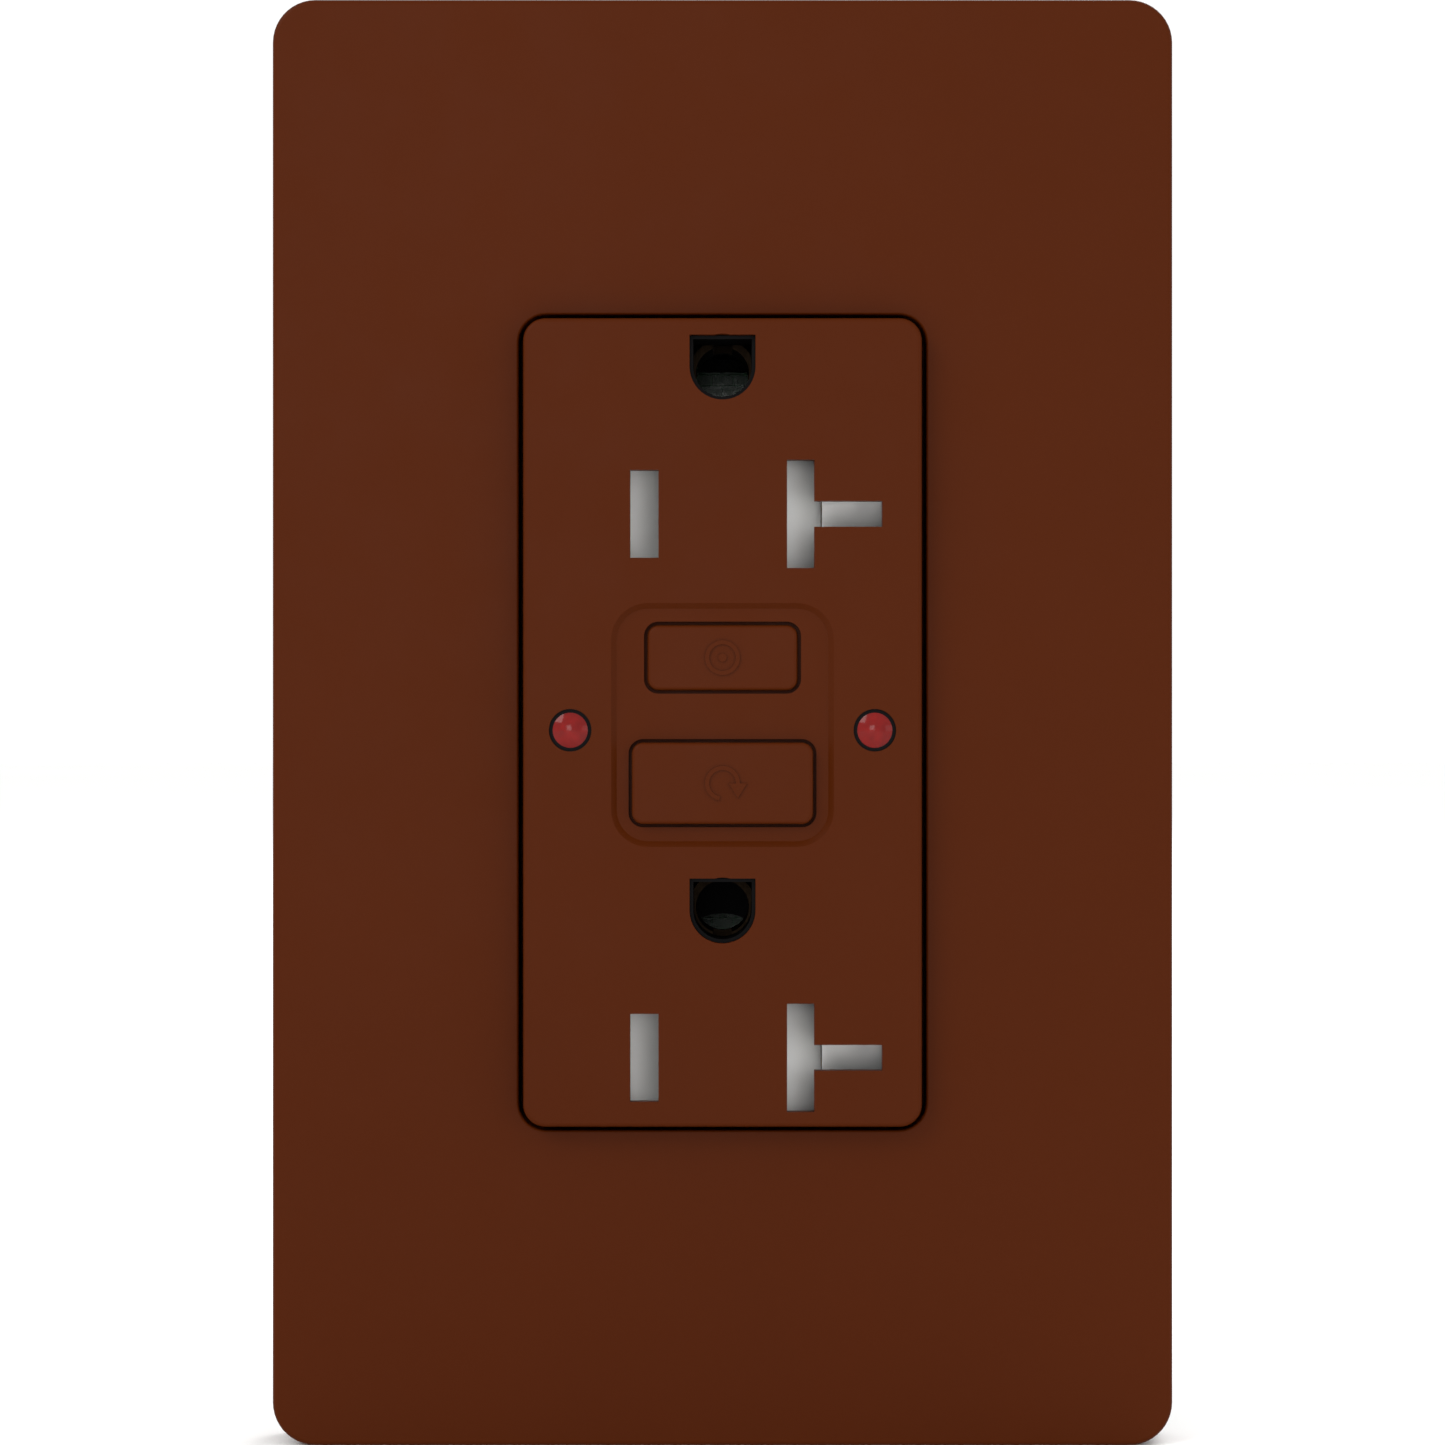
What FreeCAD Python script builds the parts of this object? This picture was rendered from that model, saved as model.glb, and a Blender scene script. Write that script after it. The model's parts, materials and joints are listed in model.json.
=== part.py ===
import FreeCAD, Part
import math
import os

# Duplex ground-fault receptacle with its screwless wall plate, in millimetres.
# X is to the right and Z up as seen from the room, Y goes into the wall.
# The wall plane is Y = 0 and the origin is midway between the two box screws.

# ---- wall plate and the frame that it snaps onto ----
PLATE_WIDTH = 73.5
PLATE_HEIGHT = 118.1
PLATE_DEPTH = 7.6
PLATE_CORNER_R = 3.5
PLATE_EDGE_R = 0.4
PLATE_SIDE_WALL = 1.8
PLATE_FRONT_WALL = 1.7
PLATE_COLLAR_WALL = 1.2
PLATE_COLLAR_DEPTH = 2.6
ADAPTER_GAP = 0.4
ADAPTER_WEB = 1.8
ADAPTER_RIM_WALL = 1.2
ADAPTER_WINDOW_GAP = 1.0
CATCH_WIDTH = 6.0
CATCH_SPREAD = 40.0
CATCH_THICK = 1.0
CATCH_GAP = 0.1

# ---- face of the device ----
FACE_WIDTH = 32.4
FACE_HEIGHT = 65.7
FACE_PROUD = 2.0
FACE_CORNER_R = 1.8
FACE_EDGE_R = 0.35
FACE_GAP = 0.44
FACE_WALL = 1.4
FACE_SIDE_WALL = 1.6
FACE_END_WALL = 0.9
SHOULDER_Y = 0.3
SHOULDER_WALL = 1.6

# ---- blade and ground openings of one outlet, from the centre of its blades ----
OUTLET_HEIGHTS = {"upper": 16.94, "lower": -27.23}
BLADE_X = 6.35
HOT_SLOT_WIDTH = 2.31
HOT_SLOT_HEIGHT = 7.14
TEE_SLOT_WIDTH = 2.22
TEE_SLOT_HEIGHT = 8.8
TEE_BRANCH_END = 12.98
TEE_BRANCH_HEIGHT = 2.1
GROUND_RISE = 11.96
GROUND_HOLE_R = 2.68
GROUND_FLAT = 2.6
GROUND_TUNNEL_WALL = 0.9
GROUND_TUNNEL_END_Y = -3.0

# ---- buttons and their blade, the recess around them and the indicator lenses ----
RECESS_WIDTH = 18.1
RECESS_HEIGHT = 19.8
RECESS_Z = -0.2
RECESS_CORNER_R = 3.0
RECESS_DEPTH = 0.35
RECESS_SLOPE = 0.45
TEST_WIDTH = 12.2
TEST_HEIGHT = 5.3
TEST_Z = 5.27
TEST_PROUD = 0.05
RESET_WIDTH = 14.7
RESET_HEIGHT = 6.6
RESET_Z = -4.93
RESET_PROUD = 0.9
BUTTON_GAP = 0.28
BUTTON_CORNER_R = 0.9
BUTTON_EDGE_R = 0.3
BUTTON_FLANGE = 0.6
BUTTON_FLANGE_THICK = 1.0
LENS_X = 12.37
LENS_Z = -0.63
LENS_R = 1.43
LENS_GAP = 0.3
LENS_DOME = 0.35
LENS_FLANGE = 0.7
LENS_STEM_R = 0.9
LENS_SUNK = 0.2
TEST_BLADE_X = (-6.9, 1.8)
TEST_BLADE_Y = 3.4
TEST_BLADE_THICK = 0.3
TEST_BLADE_HALF = 1.6

# ---- body behind the plate ----
BODY_WIDTH = 42.8
BODY_HEIGHT = 68.6
BODY_CORNER_R = 2.0
BODY_WALL = 1.8
HOUSING_END_Y = 29.0
HOUSING_FLOOR = 1.8
DECK_Y = 5.2

# ---- mounting strap ----
STRAP_THICK = 1.2
STRAP_WIDTH = 32.0
STRAP_EAR_WIDTH = 34.0
STRAP_LENGTH = 106.0
STRAP_STEP_GAP = 0.3
EAR_CORNER_R = 4.0
BOX_SCREW_PITCH = 83.34
BOX_SLOT_HALF_WIDTH = 2.0
BOX_SLOT_LENGTH = 7.0
PLATE_SCREW_PITCH = 96.8
MECHANISM_WINDOW_WIDTH = 18.0
MECHANISM_WINDOW_HEIGHT = 19.0
CONTACT_WINDOW_MARGIN = 1.5
GROUND_PASS_R = 3.1
GROUND_TAB = (-13.0, -5.0)
GROUND_TAB_END_Y = 14.4

# ---- fasteners ----
SCREW_FIT = 0.03
SIX_SCREW_R = 1.75
SIX_HEAD_R = 3.5
SIX_HEAD_THICK = 2.1
BOX_SCREW_NECK_R = 1.3
BOX_SCREW_THREAD_Y = 1.0
BOX_SCREW_END_Y = 24.0
BOX_SCREW_POINT = 1.0
RETAINER_R = 4.0
RETAINER_THICK = 0.8
ADAPTER_SCREW_END_Y = 7.0
ADAPTER_HEAD_R = 3.3
DRIVE_SLOT_WIDTH = 1.0
DRIVE_SLOT_DEPTH = 1.0
BODY_SCREW_X = 18.2
BODY_SCREW_Z = 31.1
BODY_SCREW_R = 1.2
BODY_SCREW_HEAD_R = 2.2
BODY_SCREW_HEAD_THICK = 1.6
BODY_SCREW_TIP_Y = 2.4
CROSS_SHARE = 0.7
BODY_BOSS_R = 2.9
GROUND_SCREW_R = 2.0
GROUND_SCREW_HEAD_R = 4.0
GROUND_SCREW_HEAD_THICK = 2.6
GROUND_SCREW_LENGTH = 2.5

# ---- ground contacts, riveted to the strap ----
GROUND_LEAF_R = 2.2
GROUND_LEAF_WALL = 0.6
GROUND_LEAF_FRONT_Y = -2.4
GROUND_LEAF_SPLIT = 1.6
GROUND_BASE_HALF = (5.5, 3.0)
RIVET_X = 4.4
RIVET_R = 0.7
RIVET_HEAD_R = 1.0
RIVET_HEAD_THICK = 0.4

# ---- shutters behind the blade openings ----
SHUTTER_PLAY = 0.2
SHUTTER_THICK = 3.3
SHUTTER_HALF_HEIGHT = 4.6
SHUTTER_TRAVEL = 3.1
SHUTTER_LEFT = -9.9
SHUTTER_RIGHT = 8.1
SHUTTER_SIDE_PLAY = 0.1
BRANCH_PLAY = 0.06
BRANCH_HALF_HEIGHT = 1.5
BRANCH_TRAVEL = 2.8
TRAY_FLOOR = 1.5
TRAY_WALL = 1.2
TRAY_SIDE_GAP = 0.1
TRAY_TOP = 7.4
TRAY_LEDGE = 0.8
BLADE_PASS = 1.35
SPRING_OUTER_R = 0.9
SPRING_INNER_R = 0.6
SPRING_POCKET_GAP = 0.1
SPRING_POCKET_DEPTH = 1.9
GUIDE_RIB_HALF = 0.6
GUIDE_RIB_DEPTH = 0.8
GUIDE_RIB_LENGTH = 3.2
BRANCH_SPRING_X = 11.4

# ---- current-carrying brass ----
BAR_Y = 8.2
BAR_THICK = 0.8
SPINE_X = (7.4, 11.2)
CONTACT_FRONT_Y = -2.0
CONTACT_LEAF = 0.6
CONTACT_HALF_GAP = 0.55
CONTACT_HALF_HEIGHT = 2.6
BRANCH_CONTACT_X = (8.0, 12.2)
TERMINAL_Z = 17.0
TERMINAL_Y = 13.0
TERMINAL_PLATE_X = (16.9, 18.1)
TERMINAL_PLATE_END_Y = 17.2
TERMINAL_HALF_HEIGHT = 4.2
TERMINAL_TAB_HALF = 3.0
WIRE_GAP = 2.2
WIRE_GROOVE_R = 1.3
WIRE_GROOVE_DEPTH = 0.4
WIRE_OFFSET = 3.2
WIRE_PORT_R = 1.7
CLAMP_THICK = 1.5
CLAMP_HALF = (3.6, 4.5)
CLAMP_THREAD_FIT = 0.05
TERMINAL_SCREW_R = 2.0
TERMINAL_SCREW_HEAD_R = 3.6
TERMINAL_SCREW_HEAD_THICK = 2.5
TERMINAL_SCREW_TIP_X = 12.0
TERMINAL_SCREW_FIT = 0.08
RECESS_HALF = 5.0
SIDE_RECESS_Y = (8.0, 18.2)
SIDE_BLOCK_WALL = 1.1
SEAT_GAP = 0.06
LINE_RUN_X = (12.6, 15.0)
LINE_TAIL_X = (12.6, 13.8)
LINE_TAIL_Z = (-24.1, -22.0)
LINE_REAR_Y = 20.9
CORE_Z = -20.6
CORE_BAR_X = (1.1, 2.7)
CORE_BAR_Z = (-22.8, -20.4)

# ---- moving contact arms and what lifts them ----
ARM_X = (7.5, 11.1)
ARM_Y = 10.3
ARM_THICK = 0.5
ARM_PIVOT_Z = -13.8
ARM_END_Z = 4.0
ARM_ROOT_GAP = 0.05
CONTACT_X = 9.3
CONTACT_Z = 2.2
FIXED_CONTACT_R = 1.6
FIXED_CONTACT_THICK = 0.6
ARM_CONTACT_GAP = 0.02
LIFTER_HALF_WIDTH = 11.1
LIFTER_Z = (-7.9, -1.0)
LIFTER_GAP = 0.05
LIFTER_END_Y = 15.8
LIFTER_ARM_COVER = 1.0
GUIDE_X = 5.6
GUIDE_R = 1.0
GUIDE_FIT = 0.08
GUIDE_END_Y = 20.0
PIN_R = 1.0
PIN_FIT = 0.1
PIN_TIP_R = 1.4
PIN_TIP_FIT = 0.4
PIN_TIP_END_Y = 15.2
LATCH_Y = 12.2
LATCH_THICK = 0.8
LATCH_HALF_WIDTH = 2.6
LATCH_LOW_Z = -9.4
LATCH_TAB_Z = 3.0
LATCH_TAB_THICK = 0.7
LATCH_TAB_END_Y = 18.4
LATCH_RELEASE_R = 1.6
LATCH_GAP = 0.05
LATCH_SPRING_Y = 14.8
RESET_SPRING_R = (1.9, 2.5)

# ---- carrier between the strap and the mechanism ----
CARRIER_END_Y = 10.2
CARRIER_HALF_WIDTH = 16.4
CARRIER_HALF_HEIGHT = 31.6
CARRIER_GAP = 0.1
CHAMBER_X = 12.2
CHAMBER_HALF = 5.6
LEDGE_Z = (24.4, 27.6)
LEDGE_X = 15.0

# ---- solenoid ----
COIL_Y = 17.2
BOBBIN_Z = (5.7, 22.5)
BOBBIN_FLANGE = 0.8
BOBBIN_R = 4.4
BOBBIN_TUBE_WALL = 0.6
COIL_R = 4.2
COIL_FIT = 0.05
FRAME_PLATE = 1.0
FRAME_HALF_WIDTH = 4.9
FRAME_BASE = 0.9
PLUNGER_R = 1.9
PLUNGER_FIT = 0.1
PLUNGER_TRAVEL = 2.0
PLUNGER_NOSE_R = 2.6
PLUNGER_NOSE_THICK = 0.8
PLUNGER_GAP = 0.1
PLUNGER_HEAD_Z = 27.0
PLUNGER_HEAD_R = 3.0
PLUNGER_SPRING_WALL = 0.5

# ---- sensing cores, board and electronics ----
BOARD_Y = 22.6
BOARD_THICK = 1.6
BOARD_HALF_WIDTH = 12.0
BOARD_HALF_HEIGHT = 31.0
BOARD_WAIST = (14.2, 8.0)
BOARD_POST_R = 1.2
BOARD_POST_X = 10.2
BOARD_POST_Z = 28.2
CORE_CUP_R = 8.8
CORE_CUP_WALL = 0.8
CORE_BORE_R = 4.2
CORE_BORE_WALL = 0.7
CORE_CUP_Y = (11.3, 20.4)
CORE_RING_R = (5.3, 7.6)
CORE_RING_THICK = 3.6
CORE_RING_GAP = 0.3
CORE_LEG_R = 0.5
LED_R = 1.4
LED_GAP = 0.2
LED_BASE = 0.6
VARISTOR_R = 4.2
VARISTOR_X = (7.2, 10.6)
VARISTOR_Z = 13.6
VARISTOR_LIFT = 0.6
VARISTOR_LEG_SPREAD = 2.5
CAPACITOR_X = (-11.2, -6.6)
CAPACITOR_Y = 14.0
CAPACITOR_Z = (8.6, 19.4)
CHIP_HALF = (3.0, 5.0)
CHIP_Z = 1.0
CHIP_THICK = 1.6
CHIP_LEGS = 4
CHIP_LIFT = 0.2
CHIP_LEG_REACH = 1.0
CHIP_LEG_THICK = 0.5

# ---- levels that follow from the sizes above ----
FACE_Y = -(PLATE_DEPTH + FACE_PROUD)
FACE_INNER_Y = FACE_Y + FACE_WALL
RECESS_Y = FACE_Y + RECESS_DEPTH
PLATE_INNER_Y = -PLATE_DEPTH + PLATE_FRONT_WALL
EAR_Y = -STRAP_THICK
ADAPTER_Y = EAR_Y - ADAPTER_WEB
DECK_END_Y = DECK_Y + STRAP_THICK
STEP_Z = BODY_HEIGHT / 2 + STRAP_STEP_GAP
FLOOR_Y = HOUSING_END_Y - HOUSING_FLOOR
BAR_END_Y = BAR_Y + BAR_THICK
SHUTTER_Y = FACE_INNER_Y + SHUTTER_PLAY
SHUTTER_END_Y = SHUTTER_Y + SHUTTER_THICK
SHUTTER_SPRING_Y = SHUTTER_Y + SHUTTER_THICK / 2
TRAY_Y = SHUTTER_END_Y + SHUTTER_SIDE_PLAY
TRAY_OUTER_X = FACE_WIDTH / 2 - FACE_SIDE_WALL - TRAY_SIDE_GAP
TRAY_INNER_X = TRAY_OUTER_X - TRAY_WALL
ARM_END_Y = ARM_Y + ARM_THICK
LIFTER_Y = ARM_END_Y + LIFTER_GAP
LATCH_END_Y = LATCH_Y + LATCH_THICK
BOARD_END_Y = BOARD_Y + BOARD_THICK

# ---- how far cutting shapes reach, how far joined blocks overlap, and what counts as level ----
BEYOND = 50.0
PAST = 1.0
OVERLAP = 0.1
LEVEL = 0.001
PARALLEL = 0.999


# ---- shape helpers ----
def box(x0, x1, y0, y1, z0, z1):
    return Part.makeBox(x1 - x0, y1 - y0, z1 - z0, FreeCAD.Vector(x0, y0, z0))


def rod_x(y, z, radius, x0, x1):
    return Part.makeCylinder(radius, x1 - x0, FreeCAD.Vector(x0, y, z), FreeCAD.Vector(1, 0, 0))


def rod_y(x, z, radius, y0, y1):
    return Part.makeCylinder(radius, y1 - y0, FreeCAD.Vector(x, y0, z), FreeCAD.Vector(0, 1, 0))


def rod_z(x, y, radius, z0, z1):
    return Part.makeCylinder(radius, z1 - z0, FreeCAD.Vector(x, y, z0), FreeCAD.Vector(0, 0, 1))


def cone_y(x, z, radius0, radius1, y0, y1):
    return Part.makeCone(radius0, radius1, y1 - y0, FreeCAD.Vector(x, y0, z), FreeCAD.Vector(0, 1, 0))


def fuse(*shapes):
    return shapes[0].multiFuse(list(shapes[1:])).removeSplitter()


def cut(shape, *tools):
    return shape.cut(list(tools)).removeSplitter()


def mirror_x(shape):
    return shape.mirror(FreeCAD.Vector(0, 0, 0), FreeCAD.Vector(1, 0, 0))


def edges_along(shape, axis):
    """The straight edges that run along one axis, as the corners of a block do."""
    return [
        edge
        for edge in shape.Edges
        if edge.Curve.TypeId == "Part::GeomLine" and abs(edge.Curve.Direction.dot(axis)) > PARALLEL
    ]


def round_block(width, height, radius, y0, y1, x=0, z=0):
    """A block whose four corners are rounded in the front view."""
    block = box(x - width / 2, x + width / 2, y0, y1, z - height / 2, z + height / 2)
    return block.makeFillet(radius, edges_along(block, FreeCAD.Vector(0, 1, 0)))


def round_front(block, y, radius):
    """Round off the edges of the face that lies at the front level y."""
    front = [edge for edge in block.Edges if edge.BoundBox.YMax < y + LEVEL]
    return block.makeFillet(radius, front)


def wedge_xy(points, z0, z1):
    """A prism along Z over an outline in X and Y."""
    corners = [FreeCAD.Vector(x, y, z0) for x, y in points]
    face = Part.Face(Part.makePolygon(corners + corners[:1]))
    return face.extrude(FreeCAD.Vector(0, 0, z1 - z0))


def wedge_yz(points, x0, x1):
    """A prism along X over an outline in Y and Z."""
    corners = [FreeCAD.Vector(x0, y, z) for y, z in points]
    face = Part.Face(Part.makePolygon(corners + corners[:1]))
    return face.extrude(FreeCAD.Vector(x1 - x0, 0, 0))


def grown(limits, gap, y0):
    """A pocket open at y0 that seats a block given by its limits, with a gap round its sides."""
    x0, x1, _, y1, z0, z1 = limits
    return box(x0 - gap, x1 + gap, y0, y1, z0 - gap, z1 + gap)


def save(name, shape):
    solids = shape.Solids
    if not solids or not all(solid.isValid() and solid.isClosed() for solid in solids):
        raise ValueError(f"{name} is not a closed solid")
    result = solids[0] if len(solids) == 1 else Part.makeCompound(solids)
    result.exportStep(f"parts/{name}.step")


# ---- wall plate ----
def plate_inner_size():
    return PLATE_WIDTH - 2 * PLATE_SIDE_WALL, PLATE_HEIGHT - 2 * PLATE_SIDE_WALL


def window(margin, y0, y1):
    """The opening for the device face, with a margin all round."""
    return round_block(
        FACE_WIDTH + 2 * margin, FACE_HEIGHT + 2 * margin, FACE_CORNER_R + margin, y0, y1
    )


def catch_places():
    """Where the plate snaps onto its frame: two catches at the top and two at the bottom."""
    return [(side * CATCH_SPREAD / 2, end) for side in (-1, 1) for end in (-1, 1)]


def front_plate():
    width, height = plate_inner_size()
    outside = round_block(PLATE_WIDTH, PLATE_HEIGHT, PLATE_CORNER_R, -PLATE_DEPTH, 0)
    outside = round_front(outside, -PLATE_DEPTH, PLATE_EDGE_R)
    inner_r = PLATE_CORNER_R - PLATE_SIDE_WALL
    shell = cut(outside, round_block(width, height, inner_r, PLATE_INNER_Y, BEYOND))
    collar = window(FACE_GAP + PLATE_COLLAR_WALL, PLATE_INNER_Y, PLATE_INNER_Y + PLATE_COLLAR_DEPTH)
    shell = fuse(shell, collar)
    for x, end in catch_places():
        root, tip = height / 2, height / 2 - CATCH_THICK
        points = [(PLATE_INNER_Y, root), (ADAPTER_Y, root)]
        points += [(ADAPTER_Y - CATCH_GAP, tip), (PLATE_INNER_Y, tip)]
        tooth = wedge_yz([(y, end * z) for y, z in points], x - CATCH_WIDTH / 2, x + CATCH_WIDTH / 2)
        shell = fuse(shell, tooth)
    shell = cut(shell, window(FACE_GAP, -BEYOND, BEYOND))
    lip = [
        edge
        for edge in shell.Edges
        if abs(edge.BoundBox.YMax + PLATE_DEPTH) < LEVEL and edge.BoundBox.DiagonalLength > 0
        and max(abs(edge.BoundBox.ZMax), abs(edge.BoundBox.ZMin)) < FACE_HEIGHT / 2 + 2 * FACE_GAP
        and max(abs(edge.BoundBox.XMax), abs(edge.BoundBox.XMin)) < FACE_WIDTH / 2 + 2 * FACE_GAP
    ]
    return shell.makeFillet(PLATE_EDGE_R / 2, lip)


def plate_adapter():
    width, height = (size - 2 * ADAPTER_GAP for size in plate_inner_size())
    corner = PLATE_CORNER_R - PLATE_SIDE_WALL
    blank = round_block(width, height, corner, ADAPTER_Y, 0)
    hollow = round_block(
        width - 2 * ADAPTER_RIM_WALL, height - 2 * ADAPTER_RIM_WALL, corner, EAR_Y, BEYOND
    )
    frame = cut(blank, hollow, window(FACE_GAP + ADAPTER_WINDOW_GAP, -BEYOND, BEYOND))
    for end in (-1, 1):
        box_z, plate_z = end * BOX_SCREW_PITCH / 2, end * PLATE_SCREW_PITCH / 2
        head_pass = rod_y(0, box_z, SIX_HEAD_R + ADAPTER_GAP, -BEYOND, BEYOND)
        sink = cone_y(0, plate_z, ADAPTER_HEAD_R, SIX_SCREW_R, ADAPTER_Y, EAR_Y)
        hole = rod_y(0, plate_z, SIX_SCREW_R + SCREW_FIT, -BEYOND, BEYOND)
        frame = cut(frame, head_pass, sink, hole)
    finger_top = height / 2 - CATCH_THICK - ADAPTER_GAP
    for x, end in catch_places():
        low, high = sorted((end * finger_top, end * (finger_top - CATCH_THICK)))
        finger = box(
            x - CATCH_WIDTH / 2, x + CATCH_WIDTH / 2, PLATE_INNER_Y + CATCH_GAP, ADAPTER_Y, low, high
        )
        frame = fuse(frame, finger)
    return frame


def countersunk_screw(z):
    head = cone_y(0, z, ADAPTER_HEAD_R, SIX_SCREW_R, ADAPTER_Y, EAR_Y)
    shank = rod_y(0, z, SIX_SCREW_R, EAR_Y, ADAPTER_SCREW_END_Y)
    half = DRIVE_SLOT_WIDTH / 2
    drive = box(-BEYOND, BEYOND, ADAPTER_Y - PAST, ADAPTER_Y + DRIVE_SLOT_DEPTH, z - half, z + half)
    return cut(fuse(head, shank), drive)


def adapter_screws():
    return Part.makeCompound([countersunk_screw(end * PLATE_SCREW_PITCH / 2) for end in (-1, 1)])


# ---- face cover ----
def ground_height(outlet):
    return OUTLET_HEIGHTS[outlet] + GROUND_RISE


def slot(x0, x1, height, z, y0, y1):
    return box(x0, x1, y0, y1, z - height / 2, z + height / 2)


def blade_openings(outlet, y0, y1):
    """The plain slot on the hot side and the T slot on the neutral side."""
    z = OUTLET_HEIGHTS[outlet]
    hot_half, tee_half = HOT_SLOT_WIDTH / 2, TEE_SLOT_WIDTH / 2
    hot = slot(-BLADE_X - hot_half, -BLADE_X + hot_half, HOT_SLOT_HEIGHT, z, y0, y1)
    tall = slot(BLADE_X - tee_half, BLADE_X + tee_half, TEE_SLOT_HEIGHT, z, y0, y1)
    branch = slot(BLADE_X, TEE_BRANCH_END, TEE_BRANCH_HEIGHT, z, y0, y1)
    return [hot, fuse(tall, branch)]


def ground_opening(outlet, y0, y1):
    """Round below and flat above, for the ground pin."""
    z = ground_height(outlet)
    round_part = rod_y(0, z, GROUND_HOLE_R, y0, y1)
    flat_part = box(-GROUND_HOLE_R, GROUND_HOLE_R, y0, y1, z, z + GROUND_FLAT)
    return fuse(round_part, flat_part)


def button_recess():
    """A shallow pocket with sloping sides around the two buttons."""
    wide = round_block(RECESS_WIDTH, RECESS_HEIGHT, RECESS_CORNER_R, FACE_Y - PAST, FACE_Y, z=RECESS_Z)
    shrink = 2 * RECESS_SLOPE
    floor = round_block(
        RECESS_WIDTH - shrink, RECESS_HEIGHT - shrink, RECESS_CORNER_R - RECESS_SLOPE,
        RECESS_Y, RECESS_Y + PAST, z=RECESS_Z,
    )
    rims = [
        next(f for f in wide.Faces if abs(f.CenterOfMass.y - FACE_Y) < LEVEL),
        next(f for f in floor.Faces if abs(f.CenterOfMass.y - RECESS_Y) < LEVEL),
    ]
    return Part.makeLoft([face.OuterWire for face in rims], True, True)


def button_openings():
    gap = 2 * BUTTON_GAP
    corner = BUTTON_CORNER_R + BUTTON_GAP
    sizes = [(TEST_WIDTH, TEST_HEIGHT, TEST_Z), (RESET_WIDTH, RESET_HEIGHT, RESET_Z)]
    return [round_block(w + gap, h + gap, corner, -BEYOND, BEYOND, z=z) for w, h, z in sizes]


def body_screw_places():
    return [(x * BODY_SCREW_X, z * BODY_SCREW_Z) for x in (-1, 1) for z in (-1, 1)]


def face_cover():
    face = round_front(
        round_block(FACE_WIDTH, FACE_HEIGHT, FACE_CORNER_R, FACE_Y, SHOULDER_Y + SHOULDER_WALL),
        FACE_Y, FACE_EDGE_R,
    )
    shoulder = round_block(BODY_WIDTH, BODY_HEIGHT, BODY_CORNER_R, SHOULDER_Y, DECK_Y)
    cavity_x = FACE_WIDTH / 2 - FACE_SIDE_WALL
    cavity_z = FACE_HEIGHT / 2 - FACE_END_WALL
    front_cavity = box(-cavity_x, cavity_x, FACE_INNER_Y, BEYOND, -cavity_z, cavity_z)
    wide_x, wide_z = BODY_WIDTH / 2 - BODY_WALL, BODY_HEIGHT / 2 - BODY_WALL
    rear_cavity = box(-wide_x, wide_x, SHOULDER_Y + SHOULDER_WALL, BEYOND, -wide_z, wide_z)
    cover = cut(fuse(face, shoulder), front_cavity, rear_cavity)
    boss_y = SHOULDER_Y + OVERLAP
    bosses = [rod_y(x, z, BODY_BOSS_R, boss_y, DECK_Y) for x, z in body_screw_places()]
    limit = round_block(BODY_WIDTH, BODY_HEIGHT, BODY_CORNER_R, SHOULDER_Y, DECK_Y)
    keep_out = box(-cavity_x, cavity_x, -BEYOND, BEYOND, -cavity_z, cavity_z)
    cover = fuse(cover, *[cut(boss.common(limit), keep_out) for boss in bosses])
    screw_r, tip_y = BODY_SCREW_R + SCREW_FIT, BODY_SCREW_TIP_Y - OVERLAP
    cover = cut(cover, *[rod_y(x, z, screw_r, tip_y, BEYOND) for x, z in body_screw_places()])
    reach_z = cavity_z + FACE_END_WALL / 2
    tunnel_room = box(-cavity_x, cavity_x, -BEYOND, BEYOND, -reach_z, reach_z)
    for outlet in OUTLET_HEIGHTS:
        tunnel_r = GROUND_HOLE_R + GROUND_TUNNEL_WALL
        tunnel = rod_y(0, ground_height(outlet), tunnel_r, FACE_INNER_Y, GROUND_TUNNEL_END_Y)
        cover = fuse(cover, tunnel.common(tunnel_room))
        cover = cut(cover, ground_opening(outlet, -BEYOND, 0), *blade_openings(outlet, -BEYOND, 0))
    lens_holes = [rod_y(x, LENS_Z, LENS_R + LENS_GAP, -BEYOND, 0) for x in (-LENS_X, LENS_X)]
    return cut(cover, button_recess(), *button_openings(), *lens_holes)


# ---- buttons and lenses ----
def button(width, height, z, front_y):
    flange_y = FACE_INNER_Y + OVERLAP
    cap = round_block(width, height, BUTTON_CORNER_R, front_y, flange_y, z=z)
    cap = round_front(cap, front_y, BUTTON_EDGE_R)
    flange = round_block(
        width + 2 * (BUTTON_GAP + BUTTON_FLANGE), height + 2 * (BUTTON_GAP + BUTTON_FLANGE),
        BUTTON_CORNER_R, flange_y, flange_y + BUTTON_FLANGE_THICK, z=z,
    )
    return fuse(cap, flange)


def button_back_y():
    return FACE_INNER_Y + OVERLAP + BUTTON_FLANGE_THICK


def test_button():
    stem = rod_y(0, TEST_Z, PIN_R, button_back_y(), TEST_BLADE_Y)
    return fuse(button(TEST_WIDTH, TEST_HEIGHT, TEST_Z, RECESS_Y - TEST_PROUD), stem)


def reset_button():
    cap = button(RESET_WIDTH, RESET_HEIGHT, RESET_Z, RECESS_Y - RESET_PROUD)
    socket = rod_y(0, RESET_Z, PIN_R, FACE_INNER_Y, BEYOND)
    return cut(cap, socket)


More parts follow.
